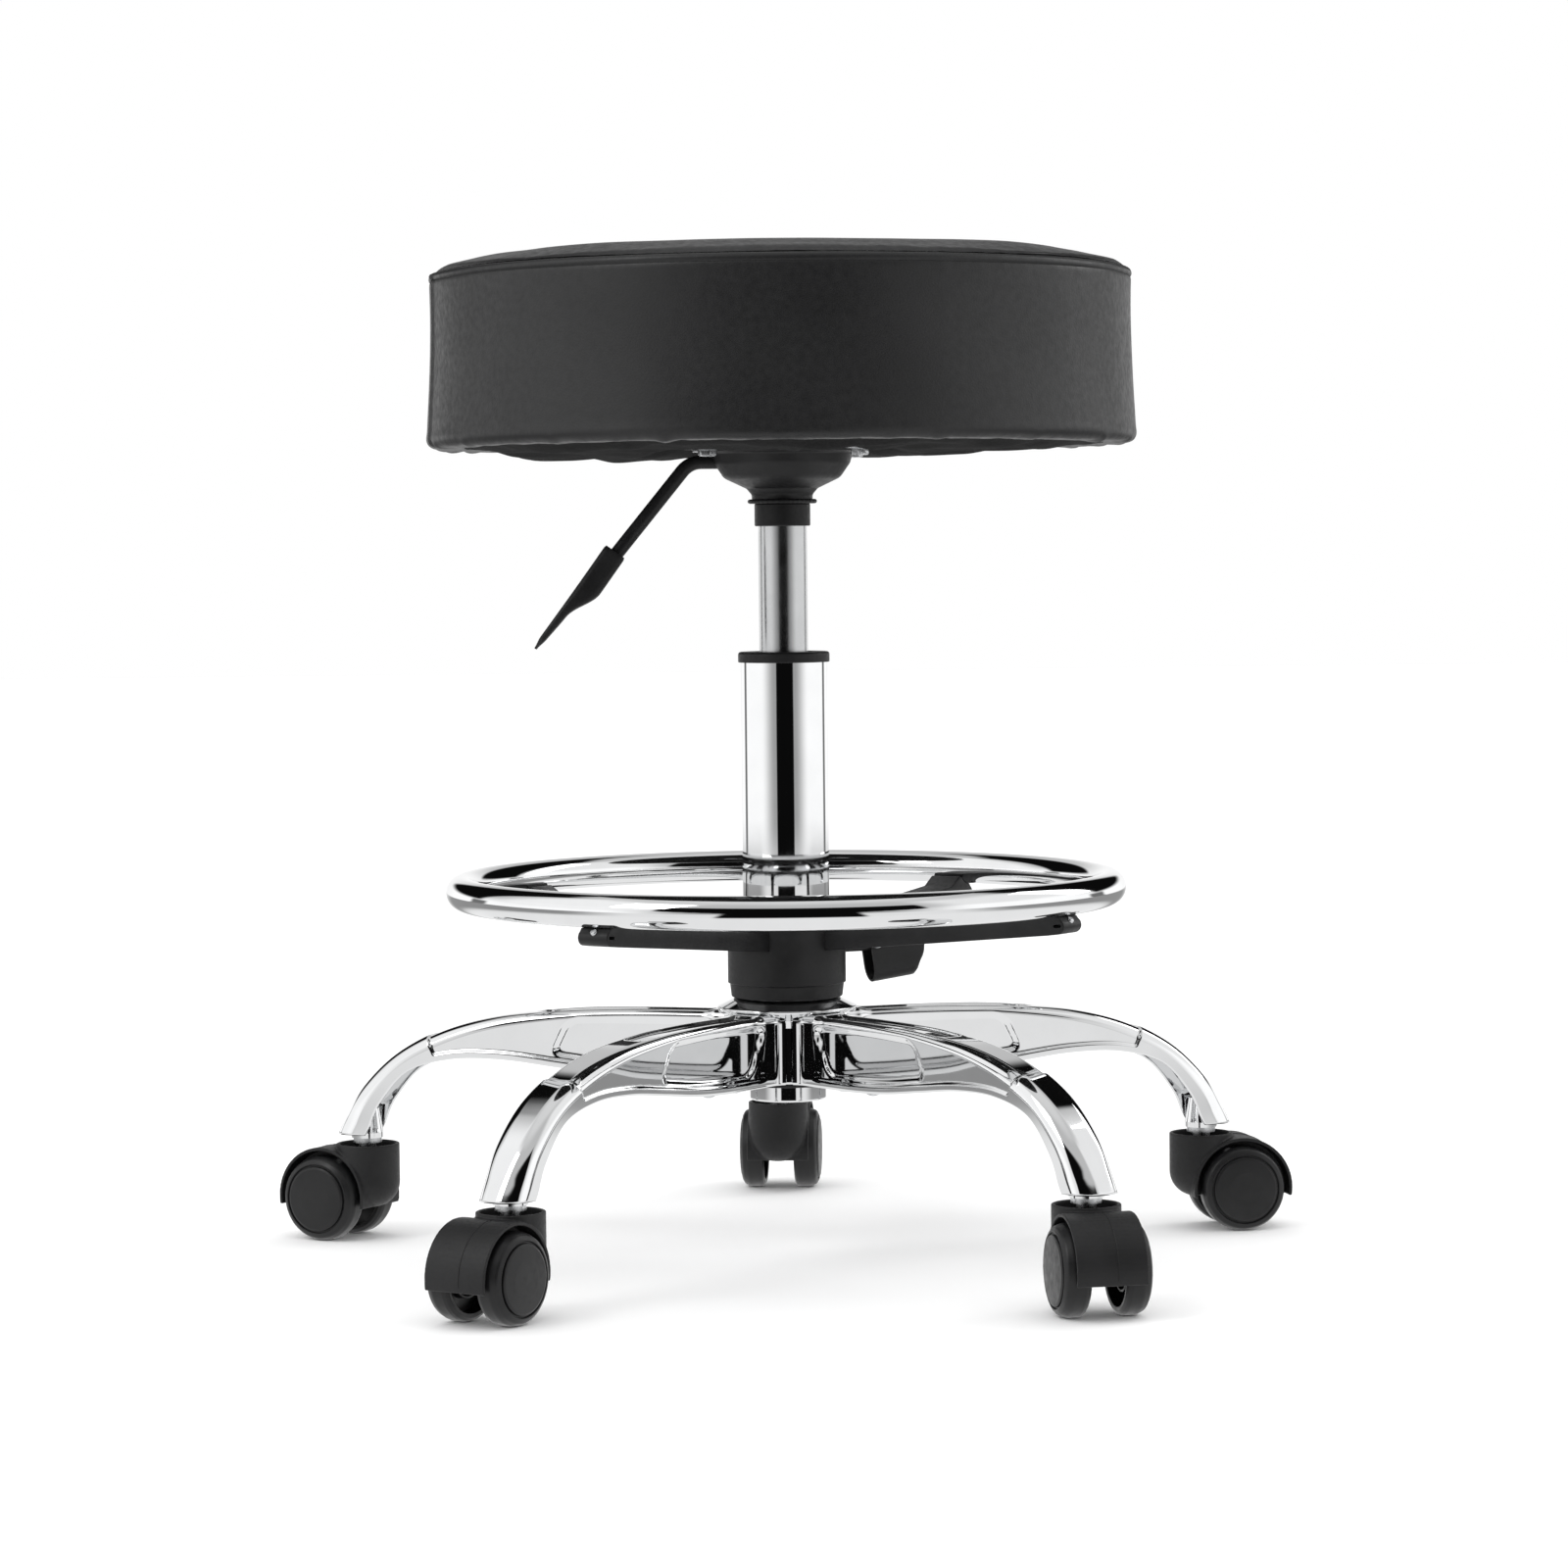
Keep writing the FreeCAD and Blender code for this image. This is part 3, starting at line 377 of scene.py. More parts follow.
def rounded(corners, steps=5, closed=True):
    """Points of an outline whose corners are (x, y) or (x, y, radius), each radius as an arc."""
    points = []
    count = len(corners)
    for k, corner in enumerate(corners):
        here = Vector(corner[:2])
        radius = corner[2] if len(corner) > 2 else 0.0
        if radius <= 0 or (not closed and k in (0, count - 1)):
            points.append(here)
            continue
        before = (Vector(corners[k - 1][:2]) - here).normalized()
        after = (Vector(corners[(k + 1) % count][:2]) - here).normalized()
        half = math.acos(max(-1.0, min(1.0, before.dot(after)))) / 2
        reach = radius / math.tan(half)
        centre = here + (before + after).normalized() * (radius / math.sin(half))
        start = here + before * reach - centre
        turn = start.angle_signed(here + after * reach - centre)
        for step in range(steps + 1):
            points.append(centre + Matrix.Rotation(-turn * step / steps, 2) @ start)
    return points


def guarded(outline, gap=0.25):
    """Extra points beside the ends of long straight runs, so that smooth shading stays flat along them."""
    points = []
    for k, point in enumerate(outline):
        run = outline[(k + 1) % len(outline)] - point
        points.append(point)
        if run.length > 6 * gap:
            points += [point + run.normalized() * gap, point + run - run.normalized() * gap]
    return points


def lathe(name, corners, material, segments=128, steps=5, sharp=40):
    """Turn a closed outline of (radius, height, rounding) about Z."""
    outline = guarded(rounded(corners, steps))
    vertices = []
    for k in range(segments):
        angle = 2 * math.pi * k / segments
        for radius, height in outline:
            vertices.append((radius * math.cos(angle), radius * math.sin(angle), height))
    return piece(name, vertices, skin(segments, len(outline), wrap=True), material, sharp)


def loft(name, rings, material, sharp=None, cap=True):
    """Skin over closed rings with the same number of points."""
    count = len(rings[0])
    vertices = [point for ring in rings for point in ring]
    faces = skin(len(rings), count)
    if cap:
        faces.append(tuple(range(count)))
        faces.append(tuple(range((len(rings) - 1) * count, len(rings) * count)))
    return piece(name, vertices, faces, material, sharp)


def swept(name, route, radius, material, around=32, sharp=50):
    """A round rod along a route that lies in a plane of constant Y."""
    rings = []
    for k, point in enumerate(route):
        ahead = route[min(k + 1, len(route) - 1)]
        behind = route[max(k - 1, 0)]
        along = (ahead - behind).normalized()
        across = Vector((0, 1, 0))
        up = along.cross(across).normalized()
        rings.append([point + across * x + up * y for x, y in circle(radius, around)])
    return loft(name, rings, material, sharp)


def block(name, low, high, bevel, slot):
    """A box between two corners, with its edges rounded."""
    corners = [(x, y, z) for x in (low[0], high[0]) for y in (low[1], high[1]) for z in (low[2], high[2])]
    faces = [(0, 1, 3, 2), (4, 6, 7, 5), (0, 4, 5, 1), (2, 3, 7, 6), (0, 2, 6, 4), (1, 5, 7, 3)]
    return soften(piece(name, corners, faces, MATERIALS[slot], 40), bevel)


def prism(name, outline, low, high, slot, bevel=0.0):
    """An outline in X and Y raised between two heights."""
    rings = [[Vector((x, y, z)) for x, y in outline] for z in (low, high)]
    return soften(loft(name, rings, MATERIALS[slot], 40), bevel)


def slab(name, outline, half, slot, bevel=0.0):
    """An outline in X and Z spread to both sides across Y."""
    rings = [[Vector((x, y, z)) for x, z in outline] for y in (-half, half)]
    return soften(loft(name, rings, MATERIALS[slot], 40), bevel)


def soften(made, bevel):
    """Round an object's sharp edges."""
    if bevel > 0:
        modifier = made.modifiers.new("bevel", "BEVEL")
        modifier.width = bevel * MM
        modifier.segments = 3
        modifier.limit_method = "ANGLE"
        modifier.angle_limit = math.radians(38)
        bake(made)
    return made


def rod(name, radius, start, end, slot, around=64):
    """A round bar between two points."""
    start, end = Vector(start), Vector(end)
    turn = UP.rotation_difference(end - start)
    rings = []
    for centre in (start, end):
        rings.append([centre + turn @ Vector((x, y, 0)) for x, y in circle(radius, around)])
    return loft(name, rings, MATERIALS[slot], 40)


def azimuth_of(place):
    """Direction of a place seen from the Z axis, in degrees."""
    return math.degrees(math.atan2(place.y, place.x))


def crisp(made, angle):
    """Smooth shading, broken only at sharp edges."""
    made.data.shade_smooth()
    made.data.set_sharp_from_angle(angle=math.radians(angle))
    return made


def eased(value, low, high):
    """0 below low, 1 above high, smooth between."""
    t = max(0.0, min(1.0, (value - low) / (high - low)))
    return t * t * (3 - 2 * t)


def turned_to(angle, shift=(0, 0, 0)):
    """Turn about Z by an angle in degrees, then shift."""
    return Matrix.Translation(shift) @ Matrix.Rotation(math.radians(angle), 4, "Z")


# ---------------------------------------------------------------- column, gas lift and hub

def lathed_pieces():
    """The turned pieces whose edges are worth rounding, as (body, slot, outline)."""
    tube_low, tube_high = (corner.z for corner in node_box("column_tube"))
    bush_low, bush_high = (corner.z for corner in node_box("column_bush"))
    tube_radius = node_box("column_tube")[1].x
    collar_radius = node_box("column_bush")[1].x
    hub_low, hub_high = (corner.z for corner in node_box("base_hub"))
    hub_radius = node_box("base_hub")[1].x
    lift_low, lift_high = (corner.z for corner in node_box("gas_cylinder"))
    lift_radius = node_box("gas_cylinder")[1].x
    sleeve_low, sleeve_high = (corner.z for corner in node_box("cylinder_sleeve"))
    sleeve_radius = node_box("cylinder_sleeve")[1].x
    ring_low, ring_high = (corner.z for corner in node_box("hub_ring"))
    ring_radius = node_box("hub_ring")[1].x
    spigot = tube_radius - 3
    wall = 1.5
    return {
        "column_tube": ("base", "chrome", (
            (spigot - wall, tube_low, 0.4), (spigot, tube_low, 1.0), (spigot, hub_low),
            (tube_radius, hub_low + 2, 1.0), (tube_radius, tube_high), (tube_radius - wall, tube_high),
            (tube_radius - wall, hub_low + 2.5), (spigot - wall, hub_low + 0.5))),
        "column_bush": ("base", "black_plastic", (
            (lift_radius + 0.06, bush_low), (tube_radius - wall, bush_low), (tube_radius - wall, tube_high),
            (collar_radius, tube_high, 0.5), (collar_radius, bush_high, 1.6),
            (lift_radius + 3, bush_high, 0.5), (lift_radius + 2.2, bush_high - 1.2, 0.4),
            (lift_radius + 0.06, bush_high - 1.2))),
        "gas_cylinder": ("seat", "chrome", (
            (lift_radius - 1.6, lift_low), (lift_radius, lift_low, 0.8), (lift_radius, sleeve_low + 5),
            (lift_radius - 0.6, lift_high, 0.6), (3.56, lift_high), (3.56, lift_high - 43),
            (lift_radius - 1.6, lift_high - 47))),
        "cylinder_sleeve": ("seat", "black_plastic", (
            (lift_radius, sleeve_low), (sleeve_radius, sleeve_low, 0.8),
            (sleeve_radius, sleeve_high - 1, 0.4),
            (sleeve_radius - 0.6, sleeve_high, 0.2), (lift_radius, sleeve_high))),
        "hub_ring": ("base", "black_plastic", (
            (spigot, ring_low), (ring_radius, ring_low, 0.8), (ring_radius, ring_high, 0.8),
            (spigot, ring_high))),
        "base_hub": ("base", "chrome", (
            (tube_radius, hub_low), (hub_radius - 12, hub_low, 1.2), (hub_radius - 12, hub_low + 36, 6.0),
            (hub_radius - 1.5, hub_low + 41.2, 1.5), (hub_radius, hub_low + 42.6, 0.8),
            (hub_radius - 11, hub_high, 1.2), (tube_radius, hub_high))),
    }


def build_lathed():
    for name, (body, slot, outline) in lathed_pieces().items():
        material = SATIN if name == "gas_cylinder" else MATERIALS[slot]
        made = lathe(f"{name}_turned", outline, material, segments=160)
        hand_in(made, body, slot, name)


# ---------------------------------------------------------------- legs of the star base

# Side view of a leg, as (crest reach, crest height, lip reach, lip height, width, shoulder radius).
LEG_STATIONS = (
    (28.0, 141.5, 28.0, 101.5, 36.0, 5.0),
    (31.5, 141.6, 31.5, 101.3, 29.5, 5.0),
    (37.0, 141.8, 37.0, 101.1, 27.0, 5.0),
    (48.0, 142.0, 48.0, 101.0, 26.5, 5.0),
    (80.0, 142.0, 80.0, 101.2, 27.0, 5.0),
    (108.0, 141.6, 108.5, 102.8, 27.5, 5.5),
    (135.0, 140.3, 137.0, 106.2, 28.0, 6.0),
    (175.0, 136.0, 171.0, 110.0, 29.0, 7.5),
    (209.0, 127.0, 202.5, 109.5, 29.0, 8.5),
    (238.0, 112.0, 230.0, 101.5, 29.0, 8.0),
    (260.0, 92.0, 247.5, 82.5, 29.0, 9.5),
    (272.5, 73.0, 254.5, 67.5, 29.0, 12.0),
    (277.5, 63.0, 257.0, 63.0, 29.0, 12.5),
)
LEG_WALL = 2.0
STEP_REACH = 218.0
STEP_DEPTH = 1.3
LIP_BORDER = 4.5


def leg_rows():
    """Positions along the leg's station list, closer together where the pressed relief changes."""
    rows = []
    for k in range(len(LEG_STATIONS) - 1):
        start, end = LEG_STATIONS[k][0], LEG_STATIONS[k + 1][0]
        low, high = sorted((start, end))
        gap = 2.6
        for edge in (44.0, 49.0, 133.0, 148.0, STEP_REACH):
            if low - 4 < edge < high + 4:
                gap = 1.3
        if low < STEP_REACH < high:
            gap = 0.6
        length = (Vector(LEG_STATIONS[k + 1][:2]) - Vector(LEG_STATIONS[k][:2])).length
        count = max(2, round(length / gap))
        rows += [k + step / count for step in range(count)]
    return rows + [len(LEG_STATIONS) - 1]


def leg_station(row):
    """Station numbers at a position along the list, by a Catmull-Rom curve."""
    last = len(LEG_STATIONS) - 1
    k = min(int(row), last - 1)
    t = row - k
    picks = [LEG_STATIONS[max(0, min(last, k + shift))] for shift in (-1, 0, 1, 2)]
    numbers = []
    for a, b, c, d in zip(*picks):
        numbers.append(0.5 * (2 * b + (c - a) * t + (2 * a - 5 * b + 4 * c - d) * t * t
                              + (3 * b - a - 3 * c + d) * t ** 3))
    return numbers


def panel(x, y, low_x, high_x, low_y, high_y, corner, edge):
    """1 inside a rounded rectangle, 0 outside, eased over an edge."""
    dx = abs(x - (low_x + high_x) / 2) - (high_x - low_x) / 2 + corner
    dy = abs(y - (low_y + high_y) / 2) - (high_y - low_y) / 2 + corner
    outside = math.hypot(max(dx, 0), max(dy, 0)) + min(max(dx, dy), 0) - corner
    return 1 - eased(outside, -edge, edge)


def leg_relief(reach, across, below, depth, on_top):
    """How far the pressed sheet is sunk at a place on the leg's outside."""
    sunk = STEP_DEPTH * eased(STEP_REACH - reach, -0.7, 0.7) * eased(reach, 40, 47)
    sunk *= eased(depth - LIP_BORDER - below, -1.2, 1.2)
    if on_top:
        sunk += 1.5 * panel(reach, across, 44, 150, -7.5, 7.5, 5.0, 0.8)
    else:
        slant = reach - (below - depth / 2) * 0.45
        sunk += 2.0 * panel(slant, below, 47, 134, 7.0, depth - 7.5, 6.0, 2.0)
    return sunk


def leg_ring(row):
    """One closed ring of the leg's sheet: outside from lip to lip, then back along the inside."""
    crest_reach, crest_height, lip_reach, lip_height, width, shoulder = leg_station(row)
    crest = Vector((crest_reach, 0, crest_height))
    down = Vector((lip_reach, 0, lip_height)) - crest
    depth = down.length
    down.normalize()
    side_count, arc_count, top_count = 44, 8, 26
    half = width / 2
    lip = 0.7

    def outer():
        for k in range(side_count):
            yield (-half, depth - lip - (depth - lip - shoulder) * k / side_count, (-1, 0), False)
        for k in range(arc_count):
            angle = math.pi / 2 * k / arc_count
            yield (-half + shoulder * (1 - math.cos(angle)), shoulder * (1 - math.sin(angle)),
                   (-math.cos(angle), -math.sin(angle)), k > arc_count / 2)
        for k in range(top_count):
            yield (-half + shoulder + (width - 2 * shoulder) * k / top_count, 0.0, (0, -1), True)
        for k in range(arc_count):
            angle = math.pi / 2 * (1 - k / arc_count)
            yield (half - shoulder * (1 - math.cos(angle)), shoulder * (1 - math.sin(angle)),
                   (math.cos(angle), -math.sin(angle)), k < arc_count / 2)
        for k in range(side_count + 1):
            yield (half, shoulder + (depth - lip - shoulder) * k / side_count, (1, 0), False)

    outside, inside = [], []
    for across, below, (out_x, out_y), on_top in outer():
        sunk = leg_relief(crest_reach, across, below, depth, on_top)
        outside.append(crest + Vector((0, across - out_x * sunk, 0)) + down * (below - out_y * sunk))
        inner_sunk = LEG_WALL + sunk * 0.8
        inside.append(crest + Vector((0, across - out_x * inner_sunk, 0))
                      + down * (below - out_y * inner_sunk))
    left_lip = [crest + Vector((0, -half + gap, 0)) + down * (depth - rise)
                for gap, rise in ((LEG_WALL - 0.7, 0.0), (0.7, 0.0), (0.2, 0.2))]
    right_lip = [Vector((point.x, -point.y, point.z)) for point in reversed(left_lip)]
    return left_lip + outside + right_lip + list(reversed(inside))


def build_legs():
    rings = [leg_ring(row) for row in leg_rows()]
    form = loft("leg_form", rings, MATERIALS["chrome"], sharp=60, cap=False)
    cap_leg_end(form, rings[-1])
    for number in CASTERS:
        made = add_object(f"pressed_leg_{number}", form.data.copy())
        move_mesh(made, turned_to(azimuth_of(joint_place(f"caster_{number}_swivel"))))
        hand_in(made, "base", "chrome", f"leg_{number}")
    bpy.data.objects.remove(form)


def cap_leg_end(form, ring):
    """Close the sheet's thickness at the leg's cut end with a strip of quads."""
    work = bmesh.new()
    work.from_mesh(form.data)
    edge = [(vertex, vertex.co / MM) for vertex in work.verts if vertex.is_boundary]
    near = [min(edge, key=lambda entry: (entry[1] - point).length)[0] for point in ring]
    count = len(ring)
    for j in range(count // 2 - 1):
        corners = [near[(j + 1) % count], near[(j + 2) % count],
                   near[count - 1 - j], near[(count - j) % count]]
        if len(set(corners)) == 4:
            try:
                work.faces.new(corners)
            except ValueError:
                pass
    bmesh.ops.recalc_face_normals(work, faces=work.faces)
    work.to_mesh(form.data)
    work.free()


# ---------------------------------------------------------------- legs' screws

def build_screws():
    """Dome-head screws with a cross recess under each leg's root."""
    low = node_box("leg_screws")[0]
    plate_low = node_box("leg_plates")[0].z
    head = plate_low - low.z
    outline = ((0, low.z), (1.6, low.z + 0.1), (3.2, low.z + 0.7), (4.3, low.z + 1.8),
               (4.6, plate_low, 0.2), (2, plate_low), (2, plate_low + 1), (0, plate_low + 1))
    dome = lathe("screw_dome", outline, MATERIALS["bright_steel"], segments=48)
    for turn in (0, 90):
        slot = block("screw_slot", (-1.9, -0.45, low.z - 1), (1.9, 0.45, low.z + head * 0.5), 0.0,
                     "bright_steel")
        carve(dome, move_mesh(slot, turned_to(turn)))
    screws = []
    for number in CASTERS:
        turn = azimuth_of(joint_place(f"caster_{number}_swivel"))
        for reach in SCREW_REACHES:
            screw = bpy.data.objects.new("screw", dome.data.copy())
            own = Matrix.Rotation(math.radians(turn * 3 + reach), 4, "Z")
            screws.append(move_mesh(screw, turned_to(turn) @ Matrix.Translation((reach, 0, 0)) @ own))
    bpy.data.objects.remove(dome)
    hand_in(joined("dome_screws", screws), "base", "bright_steel", "leg_screws")


# ---------------------------------------------------------------- casters

def caster_frame(number):
    """A caster's own frame: its stem's axis at the origin, its wheels trailing along +X."""
    swivel = joint_place(f"caster_{number}_swivel")
    wheel = joint_place(f"caster_{number}_left_roll")
    return turned_to(azimuth_of(wheel - swivel), (swivel.x, swivel.y, 0))


def hood_mesh():
    """The moulded hood, built from solids and then rounded all over by a fine remesh."""
    material = "black_plastic"
    top, low = 57.0, 19.2
    cup = lathe("hood_cup", ((0, low), (CUP_RADIUS, low, 15.0), (CUP_RADIUS, top), (0, top)),
                MATERIALS[material], 96, steps=12)
    shield = rod("hood_shield", CUP_RADIUS, (-30, 0, low + CUP_RADIUS), (30, 0, low + CUP_RADIUS), material)
    above = block("hood_above", (-30, -CUP_RADIUS, low + CUP_RADIUS), (30, CUP_RADIUS, top), 0, material)
    carve(shield, above, "UNION")
    carve(cup, shield, "INTERSECT")
    fender = rod("hood_fender", HOOD_RADIUS, (TRAIL, -HOOD_HALF, WHEEL_RADIUS),
                 (TRAIL, HOOD_HALF, WHEEL_RADIUS), material)
    carve(fender, block("hood_below", (-40, -40, -10), (80, 40, 20), 0, material))
    carve(cup, fender, "UNION")
    for side in (-1, 1):
        near = side * (WHEEL_GAP / 2 - 0.5)
        carve(cup, rod("hood_well", WHEEL_RADIUS + HOOD_CLEARANCE, (TRAIL, near, WHEEL_RADIUS),
                       (TRAIL, near + side * 25, WHEEL_RADIUS), material))
    carve(cup, rod("hood_recess", CUP_RADIUS - 2.2, (0, 0, top - 6), (0, 0, top + 1), material))
    carve(cup, rod("hood_bore", STEM_RADIUS + 0.4, (0, 0, 30.5), (0, 0, top), material))
    carve(cup, rod("hood_axle_hole", 3.4, (TRAIL, -20, WHEEL_RADIUS), (TRAIL, 20, WHEEL_RADIUS), material))
    remesh = cup.modifiers.new("remesh", "REMESH")
    remesh.mode = "VOXEL"
    remesh.voxel_size = HOOD_VOXEL * MM
    smooth = cup.modifiers.new("smooth", "SMOOTH")
    smooth.factor = 0.5
    smooth.iterations = 5
    thin = cup.modifiers.new("thin", "DECIMATE")
    thin.ratio = 0.3
    bake(cup)
    return joined("hood_form", [cup, mould_line()])


def mould_line():
    """The fine seam that the mould leaves round the fender."""
    rings = []
    for k in range(49):
        angle = math.radians(-4 + 112 * k / 48)
        out = Vector((math.cos(angle), 0, math.sin(angle)))
        centre = Vector((TRAIL, MOULD_LINE, WHEEL_RADIUS)) + out * HOOD_RADIUS
        rings.append([centre + out * 0.25 * math.cos(math.pi * j / 4)
                      + Vector((0, 0.3 * math.sin(math.pi * j / 4), 0)) for j in range(8)])
    return loft("mould_line", rings, MATERIALS["black_plastic"])


def wheel_mesh():
    """One wheel about Z with its outer face up: crowned tread, domed cap and groove."""
    wide, hollow = WHEEL_WIDTH, 8.0
    outline = ((3.1, 2.0), (6.5, 2.0, 0.4), (6.5, hollow, 0.4), (11.4, hollow, 0.4), (11.4, 3.0, 0.4),
               (12.8, 3.0, 0.4), (12.8, hollow, 0.4), (20.4, hollow, 0.5), (20.4, 0.4, 0.5),
               (WHEEL_RADIUS - 2.4, 0, 0.8), (WHEEL_RADIUS - 0.6, 1.2, 0.9), (WHEEL_RADIUS, 3.2, 2.0),
               (WHEEL_RADIUS, wide - 6.6, 5.0), (WHEEL_RADIUS - 1.6, wide - 2.9, 3.0),
               (CAP_RADIUS + 1.4, wide - 1.3, 0.5), (CAP_RADIUS + 1.1, wide - 2.7, 0.2),
               (CAP_RADIUS + 0.2, wide - 2.7, 0.2), (CAP_RADIUS, wide - 1.2, 0.5),
               (CAP_RADIUS - 1.2, wide - 0.7, 0.6), (CAP_RADIUS - 9, wide - 0.2, 6.0), (0, wide),
               (0, wide - 2), (3.1, wide - 2))
    return lathe("wheel_form", outline, MATERIALS["wheel_nylon"], segments=112, steps=5, sharp=35)


def build_casters():
    hood, wheel = hood_mesh(), wheel_mesh()
    for number in CASTERS:
        stance = caster_frame(number)
        made = add_object(f"hood_{number}", hood.data.copy())
        hand_in(move_mesh(made, stance), f"caster_{number}", "black_plastic", f"caster_{number}_hood")
        for side, sign in (("left", 1), ("right", -1)):
            made = add_object(f"wheel_{number}_{side}", wheel.data.copy())
            upright = Matrix.Rotation(math.radians(-90 * sign), 4, "X")
            out = Matrix.Translation((TRAIL, sign * WHEEL_GAP / 2, WHEEL_RADIUS))
            hand_in(move_mesh(made, stance @ out @ upright), f"caster_{number}_{side}", "wheel_nylon",
                    f"caster_{number}_wheel_{side}")
    for form in (hood, wheel):
        bpy.data.objects.remove(form)


# ---------------------------------------------------------------- foot ring

def build_foot_ring():
    low, high = node_box("foot_ring_tube")
    tube = (high.z - low.z) / 2
    centre = high.x - tube
    height = (high.z + low.z) / 2
    ring = lathe("foot_ring_bent", circle(tube, 48, (centre, height)), MATERIALS["chrome"], segments=288)
    hand_in(ring, "foot_ring", "chrome", "foot_ring_tube")
    build_ring_hub()
    build_arms(centre, tube, height)
    build_clamp()


def build_ring_hub():
    low, high = (corner.z for corner in node_box("ring_hub"))
    outer = RING_HUB_RADIUS
    inner = node_box("ring_bush")[1].x
    outline = ((inner + 0.06, low), (outer - 2, low, 0.6), (outer - 1.2, low + 7, 0.3),
               (outer - 1.2, low + 7.5), (outer, low + 8.2, 0.3), (outer, high, 0.9),
               (inner + 0.06, high, 0.5))
    sleeve = lathe("ring_hub_sleeve", outline, MATERIALS["black_steel"], segments=160)
    pivot = joint_place("ring_clamp_lift")
    lug = block("ring_hub_lug", (outer - 2, -4, pivot.z - 6),
                (pivot.to_2d().length + 5, 4, pivot.z + 6), 2.0, "black_steel")
    move_mesh(lug, turned_to(azimuth_of(pivot)))
    carve(sleeve, lug, "UNION")
    crisp(sleeve, 35)
    hand_in(sleeve, "foot_ring", "black_steel", "ring_hub")
    outline = ((inner - 4.94, low), (inner, low), (inner, high - 0.2, 0.3), (inner - 4.94, high - 0.2, 0.8))
    bush = lathe("ring_bush_turned", outline, MATERIALS["black_plastic"], segments=160)
    hand_in(bush, "ring_slider", "black_plastic", "ring_bush")


# Side view of an arm under the ring, with heights above the floor.
ARM_ROOT = 32.0
ARM_SLOPE = math.tan(math.radians(5.4))
ARM_HALF = 10.0
ARM_WALL = 1.9
CURL_RADIUS = 4.4
CURL_CENTRE = Vector((186.0, 197.0))
ARM_EYE = ((183.6, 196.2, 0.8), (188.6, 196.6, 0.8), (188.6, 198.4, 0.8), (183.6, 198.0, 0.8))
RIVET_PLACE = (188.8, 0, 200.4)
RIVET_TILT = 40
RIVET = ((0, -1.6), (2.2, -1.6), (2.2, 0), (1.9, 0.9, 0.5), (0, 1.2))

# The clamp's trough, from its mouth to its tip.
TROUGH_START, TROUGH_END = 50.0, 88.0
TROUGH_TOP = 184
TROUGH_LOW = 154.6
TROUGH_HALF = 6.5
TROUGH_WALL = 1.4
TROUGH_STEPS = 24


def arm_outline(centre, tube, height, inset):
    """Side view of an arm: a rising channel whose end cradles the ring's tube and curls over."""
    rise = ARM_ROOT * ARM_SLOPE
    low = [(ARM_ROOT, 174.5 + rise + inset), (178 - inset, 191.6 + inset), (180 - inset, 191.8 + inset)]
    if inset:
        end = [(179 - inset, 196.0), (168.0 - inset, 199.5)]
    else:
        end = []
        for middle, radius, angles in ((CURL_CENTRE, CURL_RADIUS, range(-80, 61, 20)),
                                       (Vector((centre, height)), tube + 0.1, range(-84, -156, -8))):
            end += [(middle.x + radius * math.cos(math.radians(angle)),
                     middle.y + radius * math.sin(math.radians(angle))) for angle in angles]
        end += [(175.2, 207.2), (166.5, 201.6)]
    return low + end + [(ARM_ROOT, 185.4 + rise - inset)]


def arm_turn(number):
    return turned_to(FIRST_ARM + 360 * number / ARM_COUNT)


def build_arms(centre, tube, height):
    arms = []
    for number in range(ARM_COUNT):
        arm = slab("arm_form", arm_outline(centre, tube, height, 0), ARM_HALF, "black_steel", bevel=0.7)
        inside = arm_outline(centre, tube, height, ARM_WALL)
        open_below = [(x, z - 6) for x, z in inside[:3]] + inside[3:]
        carve(arm, slab("arm_hollow", open_below, ARM_HALF - ARM_WALL, "black_steel"))
        carve(arm, slab("arm_eye", rounded(ARM_EYE), ARM_HALF + 2, "black_steel"))
        carve(arm, rod("arm_core", RING_HUB_RADIUS - 0.6, (0, 0, 140), (0, 0, 220), "black_steel"))
        arms.append(move_mesh(arm, arm_turn(number)))
    made = joined("folded_arms", arms)
    crisp(made, 35)
    hand_in(made, "foot_ring", "black_steel", "ring_arms")
    rivets = []
    for number in range(ARM_COUNT):
        rivet = lathe("rivet", RIVET, MATERIALS["bright_steel"], 32)
        tilt = Matrix.Translation(RIVET_PLACE) @ Matrix.Rotation(math.radians(RIVET_TILT), 4, "Y")
        rivets.append(move_mesh(rivet, arm_turn(number) @ tilt))
    hand_in(joined("arm_rivets", rivets), "foot_ring", "bright_steel")


def trough_ring(reach, gap, end):
    """Cross-section of the clamp's trough at a reach: straight sides over a parabolic bottom."""
    low = TROUGH_LOW + gap + 0.11 * (reach - 57) + 8 * eased(reach, end - 6, end) ** 2
    half = TROUGH_HALF - gap
    ring = [Vector((reach, -half, TROUGH_TOP + gap * 2))]
    for step in range(-12, 13):
        share = step / 12
        ring.append(Vector((reach, half * math.sin(share * math.pi / 2),
                            low + 9 * (1 - math.cos(share * math.pi / 2)))))
    ring.append(Vector((reach, half, TROUGH_TOP + gap * 2)))
    return ring


